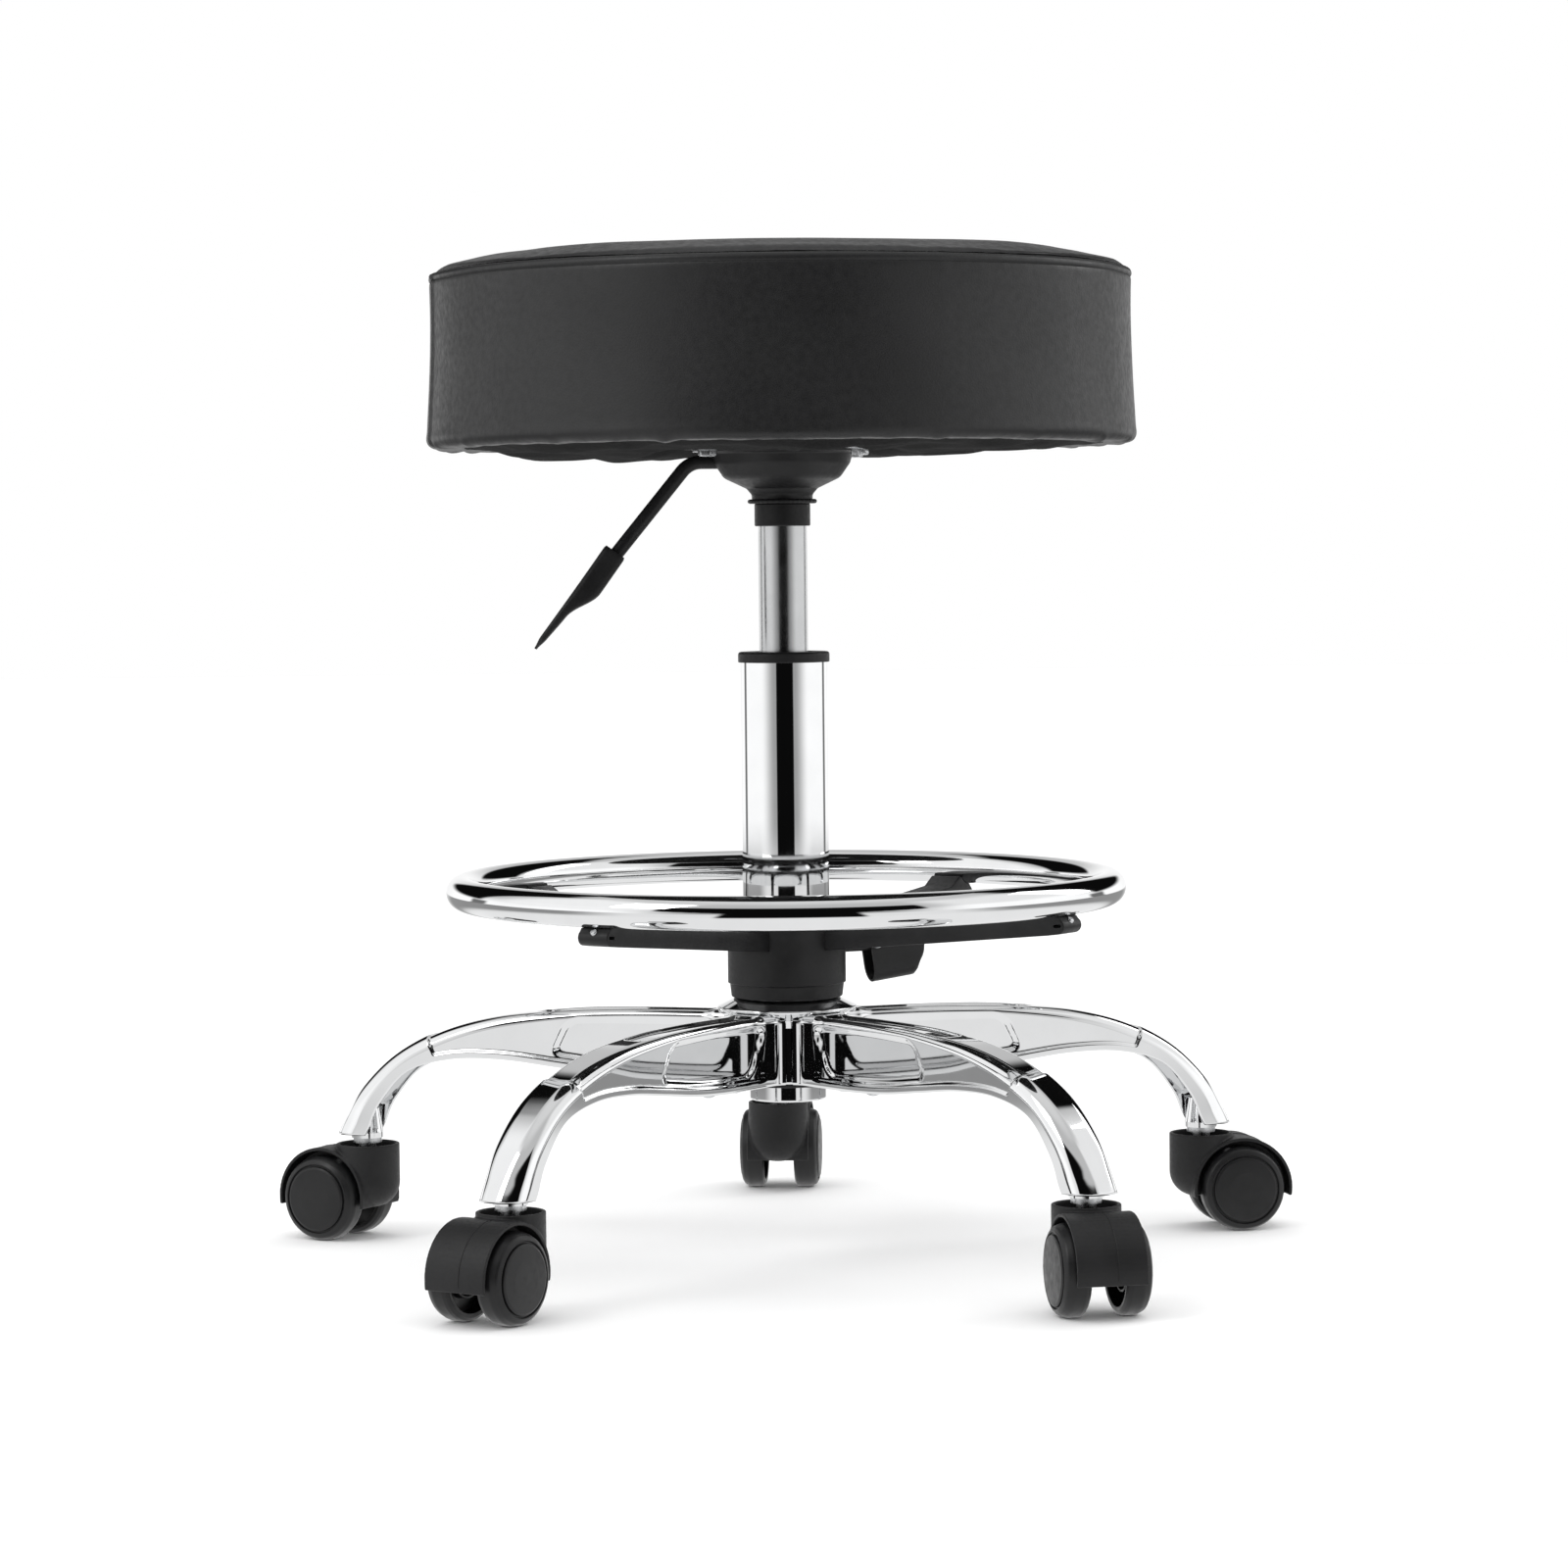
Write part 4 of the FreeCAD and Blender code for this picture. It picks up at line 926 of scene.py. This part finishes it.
def build_clamp():
    pivot = joint_place("ring_clamp_lift")
    turn = turned_to(azimuth_of(pivot))
    length = TROUGH_END - TROUGH_START
    outer, inner = (
        loft(name, [trough_ring(start + run * k / TROUGH_STEPS, gap, TROUGH_END)
                    for k in range(TROUGH_STEPS + 1)], MATERIALS["black_steel"])
        for name, start, run, gap in (("trough_form", TROUGH_START, length, 0),
                                      ("trough_inside", TROUGH_START - 2, length + 0.5, TROUGH_WALL)))
    carve(outer, inner)
    carve(outer, slab("trough_mouth", [(40, 140), (58.5, 140), (50.5, 190), (40, 190)], 12.0, "black_steel"))
    carve(outer, rod("trough_pin_hole", 2.7, (pivot.to_2d().length, -10, pivot.z),
                     (pivot.to_2d().length, 10, pivot.z), "black_steel"))
    crisp(outer, 40)
    hand_in(move_mesh(outer, turn), "ring_clamp", "black_steel", "clamp_lever")
    shank = rod("clamp_bolt", 2.5, (0, 0, -8.2), (0, 0, 8.2), "bright_steel")
    for side in (-1, 1):
        outline = ((2.0, 6.7), (4.4, 6.7), (4.4, 7.6, 0.5), (3.6, 8.3, 0.4), (2.3, 8.3, 0.3), (2.0, 7.6))
        head = lathe("clamp_bolt_head", outline, MATERIALS["bright_steel"], 48)
        carve(shank, move_mesh(head, Matrix.Rotation(math.radians(90 - 90 * side), 4, "X")), "UNION")
    crisp(shank, 35)
    across = Matrix.Translation((pivot.to_2d().length, 0, pivot.z))
    across = across @ Matrix.Rotation(math.radians(90), 4, "X")
    hand_in(move_mesh(shank, turn @ across), "foot_ring", "bright_steel", "clamp_pin")


# ---------------------------------------------------------------- seat bracket and release lever

def build_bracket():
    low, high = (corner.z for corner in node_box("seat_bracket"))
    neck = 17.5
    bore = node_box("gas_cylinder")[1].x - 0.6
    outline = ((bore, low), (bore, 447), (neck - 1, 447, 0.6), (neck + 0.6, 444.0, 2.0), (31.5, 450, 6),
               (37, 457.5, 5), (39.8, high - 0.4), (44.2, high - 0.4, 0.4), (43.6, high - 2.4, 0.8),
               (40.8, high - 3.2, 2), (39.2, 456, 6), (33.4, 447.6, 8), (20.5, 441.5, 3), (neck, 438, 3),
               (neck, low, 0.5))
    bowl = lathe("bracket_bowl", outline, MATERIALS["black_steel"], segments=160, steps=6)
    lever_height = joint_place("lever_lift").z
    slot = rounded(((-50, 449.5, 1), (-28, 449.5, 1), (-28, 464, 1), (-50, 464, 1)))
    carve(bowl, slab("bracket_slot", slot, 4.6, "black_steel"))
    for side in (-1, 1):
        outline = rounded(((-36, high - 0.2), (-36, 453, 3.4), (-28, 453, 3.4), (-28, high - 0.2)))
        ear = slab("bracket_ear", outline, 1.2, "black_steel")
        move_mesh(ear, Matrix.Translation((0, side * 5.8, 0)))
        carve(bowl, ear, "UNION")
    carve(bowl, rod("ear_hole", 2.05, (-32, -12, lever_height), (-32, 12, lever_height), "black_steel"))
    crisp(bowl, 38)
    hand_in(bowl, "seat", "black_steel", "seat_bracket")
    bead = lathe("weld_bead_ring", [(neck + 0.5 + 1.5 * math.cos(2 * math.pi * k / 14),
                                     low + 0.9 + 1.3 * math.sin(2 * math.pi * k / 14)) for k in range(14)],
                 MATERIALS["black_steel"], segments=220)
    for vertex in bead.data.vertices:
        place = vertex.co / MM
        angle = math.atan2(place.y, place.x)
        outward = Vector((place.x, place.y, 0)).normalized()
        ripple = 0.28 * abs(math.sin(angle * 19 + 0.6 * math.sin(angle * 5)))
        ripple += 0.25 * math.sin(angle * 4 + 1)
        vertex.co += outward * ripple * MM
    hand_in(bead, "seat", "black_steel")
    build_bracket_plate(high)


def build_bracket_plate(low):
    half, hole = 56.0, 3.2
    outline = rounded([(x * half, y * half, 12) for x, y in ((-1, -1), (1, -1), (1, 1), (-1, 1))], steps=10)
    plate = prism("bracket_plate_pressed", outline, low, low + 2.0, "black_steel", bevel=0.4)
    bolts = []
    for x in (-1, 1):
        for y in (-1, 1):
            shift = Matrix.Translation((x * BOLT_PLACE, y * BOLT_PLACE, 0))
            drill = rod("plate_hole", hole, (0, 0, low - 5), (0, 0, low + 5), "black_steel")
            carve(plate, move_mesh(drill, shift))
            bolts.append(move_mesh(hex_bolt(low), shift @ Matrix.Rotation(0.4 * x + 0.9 * y, 4, "Z")))
    crisp(plate, 35)
    hand_in(plate, "seat", "black_steel", "bracket_plate")
    hand_in(joined("hex_bolts", bolts), "seat", "bright_steel", "bracket_bolts")


def hex_bolt(top):
    """A hexagon bolt pointing up, with a washer under the plate and its shank through the board."""
    low = top - 5.5
    head = prism("bolt_head", circle(5.6, 6), low, low + 4.0, "bright_steel", bevel=0.35)
    outline = ((0, low - 0.1), (4.3, low - 0.1), (5.4, low + 0.8), (6.6, low + 5), (0, low + 5))
    cone = lathe("bolt_chamfer", outline, MATERIALS["bright_steel"], 48)
    carve(head, cone, "INTERSECT")
    washer = lathe("bolt_washer", ((0, low + 4.0), (8, low + 4.0, 0.3), (8, low + 5.4, 0.3), (0, low + 5.4)),
                   MATERIALS["bright_steel"], 64)
    shank = rod("bolt_shank", 3.0, (0, 0, low + 5), (0, 0, top + 12), "bright_steel")
    crisp(head, 30)
    return joined("bolt", [head, washer, shank])


def build_lever():
    route2d = rounded(((-3, 457), (53.0, 457.0, 14), (108, 389.5)), steps=14, closed=False)
    dense = [route2d[0]]
    for point in route2d[1:]:
        gap = (point - dense[-1]).length
        count = max(1, round(gap / 4))
        start = dense[-1]
        dense += [start.lerp(point, (k + 1) / count) for k in range(count)]
    route = [Vector((-point.x, 0, point.y)) for point in dense]
    bar = swept("lever_rod_bent", route, 4.0, MATERIALS["black_steel"], around=40, sharp=60)
    hand_in(bar, "release_lever", "black_steel", "lever_rod")
    build_grip()


def build_grip():
    """The flat moulded grip: a square-shouldered socket that thins into a broad paddle."""
    outer_top, outer_tip = Vector((101.5, 410.2)), Vector((143.8, 352.2))
    along = (outer_tip - outer_top).normalized()
    inward = Vector((-along.y, along.x))
    if inward.x > 0:
        inward = -inward
    length = (outer_tip - outer_top).length
    rings = []
    for k in range(49):
        share = k / 48
        distance = length * share
        thick = 13.6 - 8.2 * eased(share, 0.34, 0.66) - 1.9 * eased(share, 0.6, 1.0)
        wide = 8.0 + 3.6 * eased(share, 0.1, 0.62)
        tip = 1 - eased(share, 0.90, 1.0) * 0.55
        root = 1 - (1 - eased(share, -0.02, 0.025)) * 0.12
        offset = thick / 2 + 0.25 * math.sin(share * math.pi)
        middle = outer_top + along * distance + inward * offset
        centre = Vector((-middle.x, 0, middle.y))
        thin_way = Vector((-inward.x, 0, inward.y))
        thick_now, wide_now = thick / 2 * tip * root, wide * (1 - (1 - tip) * 0.7) * root
        ring = []
        for j in range(40):
            angle = 2 * math.pi * j / 40
            square = 0.42
            c, d = math.cos(angle), math.sin(angle)
            ring.append(centre + Vector((0, 1, 0)) * wide_now * math.copysign(abs(c) ** square, c)
                        + thin_way * thick_now * math.copysign(abs(d) ** square, d))
        rings.append(ring)
    grip = loft("paddle_grip", rings, MATERIALS["black_plastic"], sharp=50)
    hand_in(grip, "release_lever", "black_plastic", "lever_grip")


# ---------------------------------------------------------------- seat

def seam_column(angle):
    """Draw columns together beside the band's upright seam, so that its groove has enough of them."""
    away = (angle - SEAM_AZIMUTH + math.pi) % (2 * math.pi) - math.pi
    reach = 0.3
    if abs(away) < reach:
        away *= 0.25 + 0.75 * abs(away) / reach
    return SEAM_AZIMUTH + away


def panel_height(radius):
    """Crowned top panel: rounded over at its edge and nearly flat within."""
    turn_in = PANEL_RADIUS - PANEL_ROUND
    if radius > turn_in:
        share = min(1.0, (radius - turn_in) / PANEL_ROUND)
        return PANEL_LOW + PANEL_RISE * math.sqrt(1 - share * share)
    return PANEL_LOW + PANEL_RISE + 2.6 * (1 - (radius / turn_in) ** 2)


def panel_points():
    """Top panel as a square grid stretched over a disc, and its rim in order."""
    points, rim = {}, []
    for i in range(PANEL_GRID + 1):
        for j in range(PANEL_GRID + 1):
            u, v = 2 * i / PANEL_GRID - 1, 2 * j / PANEL_GRID - 1
            x, y = u * math.sqrt(1 - v * v / 2), v * math.sqrt(1 - u * u / 2)
            share = min(1.0, math.hypot(x, y))
            angle = math.atan2(y, x)
            turned = seam_column(angle)
            angle += (turned - angle + math.pi) % (2 * math.pi) * share ** 6 - math.pi * share ** 6
            radius = PANEL_RADIUS * (0.45 * share + 0.55 * math.sin(share * math.pi / 2))
            points[i, j] = Vector((radius * math.cos(angle), radius * math.sin(angle), panel_height(radius)))
    side = range(PANEL_GRID)
    rim += [(PANEL_GRID, j) for j in side] + [(PANEL_GRID - i, PANEL_GRID) for i in side]
    rim += [(0, PANEL_GRID - j) for j in side] + [(i, 0) for i in side]
    return points, rim


def band_profile():
    """Cover from the seam down the band and under the hem, as (radius, height, held)."""
    strip = [(196.4, 564.3), (195.7, 563.8), (196.4, 563.5), (198.2, 563.6), (199.2, 563.1), (199.7, 562.0),
             (199.6, 560.9), (198.6, 560.2), (198.6, 559.8), (199.3, 559.1)]
    held = [(radius, height, True) for radius, height in strip]
    count = 17
    for k in range(count):
        share = (k + 0.6) / count
        height = 558.8 + (472 - 558.8) * share
        held.append((199.3 + 2.5 * share - 0.3 * math.sin(share * math.pi), height, False))
    hem = [(202.2, 471.6), (201.9, 469.6), (200.9, 467.9), (199.2, 466.9), (196.8, 466.5), (192.0, 466.6),
           (187.0, 466.8), (182.0, 467.0)]
    return held + [(radius, height, True) for radius, height in hem]


def cover_form():
    """The drum of the cover before the foam fills it, and the vertices that its seams hold."""
    points, rim = panel_points()
    order = {key: k for k, key in enumerate(points)}
    vertices = list(points.values())
    faces = [(order[i, j], order[i + 1, j], order[i + 1, j + 1], order[i, j + 1])
             for i in range(PANEL_GRID) for j in range(PANEL_GRID)]
    held = {order[key] for key in rim}
    above = [order[key] for key in rim]
    columns = [math.atan2(points[key].y, points[key].x) for key in rim]
    for radius, height, fixed in band_profile():
        row = []
        for angle in columns:
            row.append(len(vertices))
            vertices.append(Vector((radius * math.cos(angle), radius * math.sin(angle), height)))
        for k in range(len(row)):
            follow = (k + 1) % len(row)
            faces.append((above[k], above[follow], row[follow], row[k]))
        if fixed:
            held.update(row)
        above = row
    mesh = bpy.data.meshes.new("cover")
    mesh.from_pydata([v * MM for v in vertices], [], faces)
    mesh.materials.append(MATERIALS["black_leather"])
    return add_object("leather_cover", mesh), held


def inflate(cover, held):
    """Cloth simulation: the foam's pressure fills the cover between its seams."""
    group = cover.vertex_groups.new(name="held")
    group.add(sorted(held), 1.0, "REPLACE")
    start = [vertex.co.copy() for vertex in cover.data.vertices]
    cloth = cover.modifiers.new("cloth", "CLOTH")
    settings = cloth.settings
    settings.quality = 6
    settings.mass = 0.35
    settings.tension_stiffness = settings.compression_stiffness = 25
    settings.shear_stiffness = 12
    settings.bending_stiffness = 1.2
    settings.use_pressure = True
    settings.uniform_pressure_force = 4.0
    settings.vertex_group_mass = "held"
    settings.effector_weights.gravity = 0
    cloth.collision_settings.use_collision = False
    cloth.collision_settings.use_self_collision = False
    cloth.point_cache.frame_start, cloth.point_cache.frame_end = 1, CLOTH_FRAMES
    for step in range(1, CLOTH_FRAMES + 1):
        bpy.context.scene.frame_set(step)
    settled = bpy.data.meshes.new_from_object(cover.evaluated_get(bpy.context.evaluated_depsgraph_get()))
    cover.modifiers.clear()
    cover.vertex_groups.clear()
    moves = []
    for first, last in zip(start, settled.vertices):
        move = last.co - first
        reach = PANEL_CAP if first.z > 0.56 else BAND_CAP
        moves.append(move * min(1.0, reach * MM / max(move.length, 1e-9)))
    near = [[] for _ in start]
    for edge in cover.data.edges:
        a, b = edge.vertices
        near[a].append(b)
        near[b].append(a)
    for _ in range(RELAX_ROUNDS):
        moves = [move * 0.4 + sum((moves[k] for k in around), Vector()) * (0.6 / len(around))
                 if number not in held else move for number, (move, around) in enumerate(zip(moves, near))]
    for vertex, first, move in zip(cover.data.vertices, start, moves):
        vertex.co = first + move
    bpy.data.meshes.remove(settled)
    bpy.context.scene.frame_set(1)


def pucker(angle):
    """Uneven small gathers round the hem: how far the leather hangs at an azimuth."""
    hang = 0.0
    for k in range(PUCKER_COUNT):
        wander = noise.noise(Vector((k * 3.7, 1.3, 0)))
        place = 2 * math.pi * (k + 0.9 * wander) / PUCKER_COUNT
        away = (angle - place + math.pi) % (2 * math.pi) - math.pi
        size = 0.2 + 2.6 * abs(noise.noise(Vector((k * 5.1, 7.7, 0))))
        hang += size * math.exp(-(away / (0.016 + 0.012 * abs(wander))) ** 2)
    return hang


def gather(cover):
    """Slack, puckers and the upright seam, pressed into the filled cover."""
    for vertex in cover.data.vertices:
        place = vertex.co / MM
        radius = place.to_2d().length
        angle = math.atan2(place.y, place.x)
        outward = Vector((place.x, place.y, 0)).normalized() if radius > 1 else Vector()
        slow = noise.noise(Vector((math.cos(angle) * 2.4, math.sin(angle) * 2.4, place.z / 60)))
        ripple = noise.noise(Vector((math.cos(angle) * 26, math.sin(angle) * 26, place.z / 25)))
        on_band = eased(radius, 190, 197) * eased(565 - place.z, 0, 3)
        near_seam = math.exp(-abs(place.z - 560) / 9) + math.exp(-abs(place.z - 468) / 9)
        shift = outward * on_band * (0.35 * slow * eased(560 - place.z, 0, 20) + 0.16 * ripple * near_seam)
        if place.z > 564:
            shift.z += 0.7 * slow * eased(radius, 60, 150) + 0.3 * ripple * eased(radius, 165, 190)
        low_edge = eased(477 - place.z, 0, 9) * eased(radius, 184, 197)
        shift.z -= pucker(angle) * low_edge
        under = eased(radius, 205, 190) if place.z < 468.5 else 0.0
        creases = noise.noise(Vector((math.cos(angle) * 14, math.sin(angle) * 14, radius / 9)))
        shift.z += under * 0.8 * creases
        away = ((angle - SEAM_AZIMUTH + math.pi) % (2 * math.pi) - math.pi) * 200
        groove = 1.7 * math.exp(-(away / 0.8) ** 2) - 0.8 * math.exp(-((abs(away) - 2.4) / 1.3) ** 2)
        bunch = 1.3 * math.exp(-(away / 3.0) ** 2) * math.exp(-((place.z - 562) / 4) ** 2)
        shift -= outward * groove * on_band
        shift += outward * bunch * math.cos(place.z * 1.9)
        vertex.co += shift * MM


def stitch_line(name, surface, radius, height, direction, lift):
    """Stitches round the seat: each lies on the leather found along a direction from a ring of places."""
    count = round(2 * math.pi * radius / (STITCH_LENGTH + STITCH_GAP))
    vertices, faces = [], []
    around, along = 6, 7
    for k in range(count):
        angle = 2 * math.pi * k / count
        found = []
        for side in (-0.5, 0.0, 0.5):
            swing = Matrix.Rotation(angle + side * STITCH_LENGTH / radius, 3, "Z")
            start = swing @ Vector((radius, 0, height))
            way = (swing @ Vector(direction)).normalized()
            hit, normal, _, _ = surface.ray_cast((start - way * 12) * MM, way)
            if hit is None:
                break
            found.append((hit / MM, normal if normal.dot(way) < 0 else -normal))
        if len(found) < 3:
            continue
        (first, up_first), (middle, up), (last, up_last) = found
        across = up.cross((last - first).normalized()).normalized()
        base = len(vertices)
        for j in range(along + 1):
            share = j / along
            centre = first.lerp(last, share) + up * (lift * math.sin(share * math.pi) - 0.25)
            thick = THREAD_RADIUS * (0.45 + 0.55 * math.sin(share * math.pi) ** 0.5)
            vertices += [centre + across * x + up * y for x, y in circle(thick, around)]
        faces += skin(along + 1, around, base)
        faces.append(tuple(base + i for i in range(around)))
        faces.append(tuple(base + along * around + i for i in range(around)))
    mesh = bpy.data.meshes.new(name)
    mesh.from_pydata([v * MM for v in vertices], [], faces)
    mesh.shade_smooth()
    mesh.materials.append(THREAD)
    return hand_in(add_object(name, mesh), "seat", "black_leather")


def build_seat():
    cover, held = cover_form()
    inflate(cover, held)
    finer = cover.modifiers.new("finer", "SUBSURF")
    finer.levels = finer.render_levels = 1
    bake(cover)
    gather(cover)
    cover.data.shade_smooth()
    surface = BVHTree.FromPolygons([vertex.co.copy() for vertex in cover.data.vertices],
                                   [tuple(face.vertices) for face in cover.data.polygons])
    stitch_line("upper_stitches", surface, 196.6, 564.6, (-1, 0, -0.15), 0.3)
    stitch_line("lower_stitches", surface, 199.0, 560.0, (-1, 0, 0), 0.3)
    solid = cover.modifiers.new("leather_thickness", "SOLIDIFY")
    solid.thickness = 1.0 * MM
    solid.offset = -1
    bake(cover)
    hand_in(cover, "seat", "black_leather", "seat_cover", "seat_foam")
    build_dust_cover()


def build_dust_cover():
    """Woven cloth stapled under the board: it hangs in slack folds between the plate and the hem."""
    rings, spokes = 64, 240
    vertices = []
    for i in range(rings + 1):
        radius = 3 + (DUST_RADIUS - 3) * i / rings
        for k in range(spokes):
            angle = 2 * math.pi * k / spokes
            x, y = radius * math.cos(angle), radius * math.sin(angle)
            free = eased(max(abs(x), abs(y)) - 57, 0, 30) * eased(DUST_RADIUS - 4 - radius, 0, 26)
            folds = noise.noise(Vector((math.cos(angle) * 2.3, math.sin(angle) * 2.3, radius / 90)))
            creases = noise.noise(Vector((math.cos(angle) * 9, math.sin(angle) * 9, radius / 45)))
            tuck = 0.5 * noise.noise(Vector((math.cos(angle) * 17, math.sin(angle) * 17, 3)))
            sag = free * (5.0 + 4.0 * folds + 1.8 * creases)
            edge = eased(radius, DUST_RADIUS - 16, DUST_RADIUS - 2)
            vertices.append((x, y, 467.6 - sag - edge * (1.4 + tuck)))
    dust = piece("stapled_dust_cover", vertices, skin(rings + 1, spokes), MATERIALS["dust_cloth"])
    solid = dust.modifiers.new("cloth_thickness", "SOLIDIFY")
    solid.thickness = 0.5 * MM
    solid.offset = 0
    bake(dust)
    hand_in(dust, "seat", "dust_cloth", "dust_cover")


paint_cad_nodes()
build_lathed()
build_legs()
build_screws()
build_casters()
build_foot_ring()
build_bracket()
build_lever()
build_seat()


# ---------------------------------------------------------------- floor, light and camera

def build_stage():
    work = bmesh.new()
    bmesh.ops.create_grid(work, x_segments=2, y_segments=2, size=12)
    mesh = bpy.data.meshes.new("floor")
    work.to_mesh(mesh)
    work.free()
    mesh.materials.append(shader("floor_paper", (0.93, 0.93, 0.93), 0.9))
    add_object("floor", mesh)


def area_light(name, place, target, size, power):
    data = bpy.data.lights.new(name, "AREA")
    data.shape = "RECTANGLE"
    data.size, data.size_y = size
    data.energy = power
    lamp = add_object(name, data)
    lamp.location = place
    lamp.rotation_euler = (Vector(target) - Vector(place)).to_track_quat("-Z", "Y").to_euler()


def band(value, middle, half, soft):
    """1 within half of the middle, falling to 0 over a soft edge."""
    return 1 - eased(abs(value - middle), half, half + soft)


def studio_light(azimuth, elevation):
    """Brightness of the studio in one direction, as chrome sees it; azimuth 0 is the front."""
    side = abs(azimuth)
    light = 0.42 + 0.85 * eased(side, 26, 66) - 0.25 * eased(side, 140, 170)
    light *= 1 - 0.85 * band(side, 126, 4, 3) * band(elevation, 0, 6, 4)
    light += (0.62 - light) * eased(elevation, 6, 26)
    light += 0.5 * band(azimuth, -80, 26, 20) * band(elevation, 38, 14, 14)
    light += 0.4 * band(azimuth, 86, 22, 18) * band(elevation, 34, 14, 14)
    light += 0.2 * eased(elevation, 52, 74)
    light *= 1 - band(azimuth, 0, 21 + 24 * eased(elevation, 3, 14), 2.5) * band(elevation, 0, 34, 5)
    light *= 1 - band(side, 145, 17, 5) * band(elevation, 31, 19, 5)
    return max(light, 0.004)


def ground_light(azimuth, distance):
    """Brightness of the studio's ground as chrome sees it: white under the stool, grey beyond its sides."""
    side = abs(azimuth)
    grey = 0.95 - 0.62 * eased(side, 48, 78) * (1 - eased(side, 150, 172))
    light = 1.0 + (grey - 1.0) * eased(distance, 520, 800)
    light += (studio_light(azimuth, 0) - light) * eased(distance, 2600, 4200)
    light *= 1 - band(azimuth, 0, 21, 2.5) * eased(distance, 560, 660)
    return max(light, 0.004)


def glossy_only(prop):
    """A studio prop that only shiny surfaces see."""
    prop.visible_camera = prop.visible_diffuse = prop.visible_shadow = False


def glowing_mesh(name, rings, lights):
    """A glossy-only skin over rings of places, with a brightness at each place."""
    mesh = bpy.data.meshes.new(name)
    mesh.from_pydata([place * MM for ring in rings for place in ring], [], skin(len(rings), len(rings[0])))
    layer = mesh.color_attributes.new("light", "FLOAT_COLOR", "POINT")
    layer.data.foreach_set("color", [part for light in lights for part in (light, light, light, 1.0)])
    paint = bpy.data.materials.new(name)
    paint.use_nodes = True
    paint.node_tree.nodes.clear()
    colour = node(paint, "ShaderNodeAttribute", attribute_name="light")
    glow = node(paint, "ShaderNodeEmission")
    out = node(paint, "ShaderNodeOutputMaterial")
    link(paint, colour, "Color", glow, "Color")
    link(paint, glow, "Emission", out, "Surface")
    mesh.materials.append(paint)
    glossy_only(add_object(name, mesh))


def build_reflections():
    """What chrome sees round the stool: a dome of cards and softboxes, and a shaded ground."""
    columns, radius = 360, 9000.0
    azimuths = [360 * column / columns - 180 for column in range(columns)]
    headings = [math.radians(azimuth - 90) for azimuth in azimuths]
    rings, lights = [], []
    for row in range(61):
        elevation = -2 + 92 * row / 60
        flat, high = radius * math.cos(math.radians(elevation)), radius * math.sin(math.radians(elevation))
        rings.append([Vector((flat * math.cos(heading), flat * math.sin(heading), high))
                      for heading in headings])
        lights += [studio_light(azimuth, elevation) for azimuth in azimuths]
    glowing_mesh("studio_dome", rings, lights)
    rings, lights = [], []
    for row in range(61):
        distance = 5 * (radius / 5) ** (row / 60)
        rings.append([Vector((distance * math.cos(heading), distance * math.sin(heading), 0.6))
                      for heading in headings])
        lights += [ground_light(azimuth, distance) for azimuth in azimuths]
    glowing_mesh("studio_ground", rings, lights)


def build_light():
    world = bpy.data.worlds.new("studio")
    bpy.context.scene.world = world
    world.use_nodes = True
    background = world.node_tree.nodes["Background"]
    background.inputs["Color"].default_value = (1, 1, 1, 1)
    background.inputs["Strength"].default_value = 1.0
    area_light("key", (-2.2, -1.6, 2.4), (0, 0, 0.3), (1.2, 1.6), 22)
    area_light("rim", (2.4, 1.2, 1.8), (0, 0, 0.3), (0.8, 1.8), 12)
    sun = bpy.data.lights.new("overhead", "SUN")
    sun.energy = 0.8
    sun.angle = math.radians(100)
    add_object("overhead", sun)
    build_reflections()


# Camera fitted to the photograph's perspective: distance and height in metres, angles in radians.
CAMERA_DISTANCE = 2.6678
CAMERA_HEIGHT = 0.4106
CAMERA_SIDE = -0.0006
CAMERA_PITCH = 0.052
CAMERA_ROLL = -0.0099
CAMERA_AZIMUTH = -0.0241
FOCAL_LENGTH = 106.57


def build_camera():
    data = bpy.data.cameras.new("camera")
    data.lens = FOCAL_LENGTH
    data.sensor_width = 36
    camera = add_object("camera", data)
    around = Matrix.Rotation(CAMERA_AZIMUTH, 4, "Z")
    aim = Matrix.Rotation(math.pi / 2 - CAMERA_PITCH, 4, "X") @ Matrix.Rotation(CAMERA_ROLL, 4, "Z")
    place = Matrix.Translation((CAMERA_SIDE, -CAMERA_DISTANCE, CAMERA_HEIGHT))
    camera.matrix_world = around @ place @ aim
    bpy.context.scene.camera = camera
    bpy.context.scene.view_settings.view_transform = "Standard"


build_stage()
build_light()
build_camera()
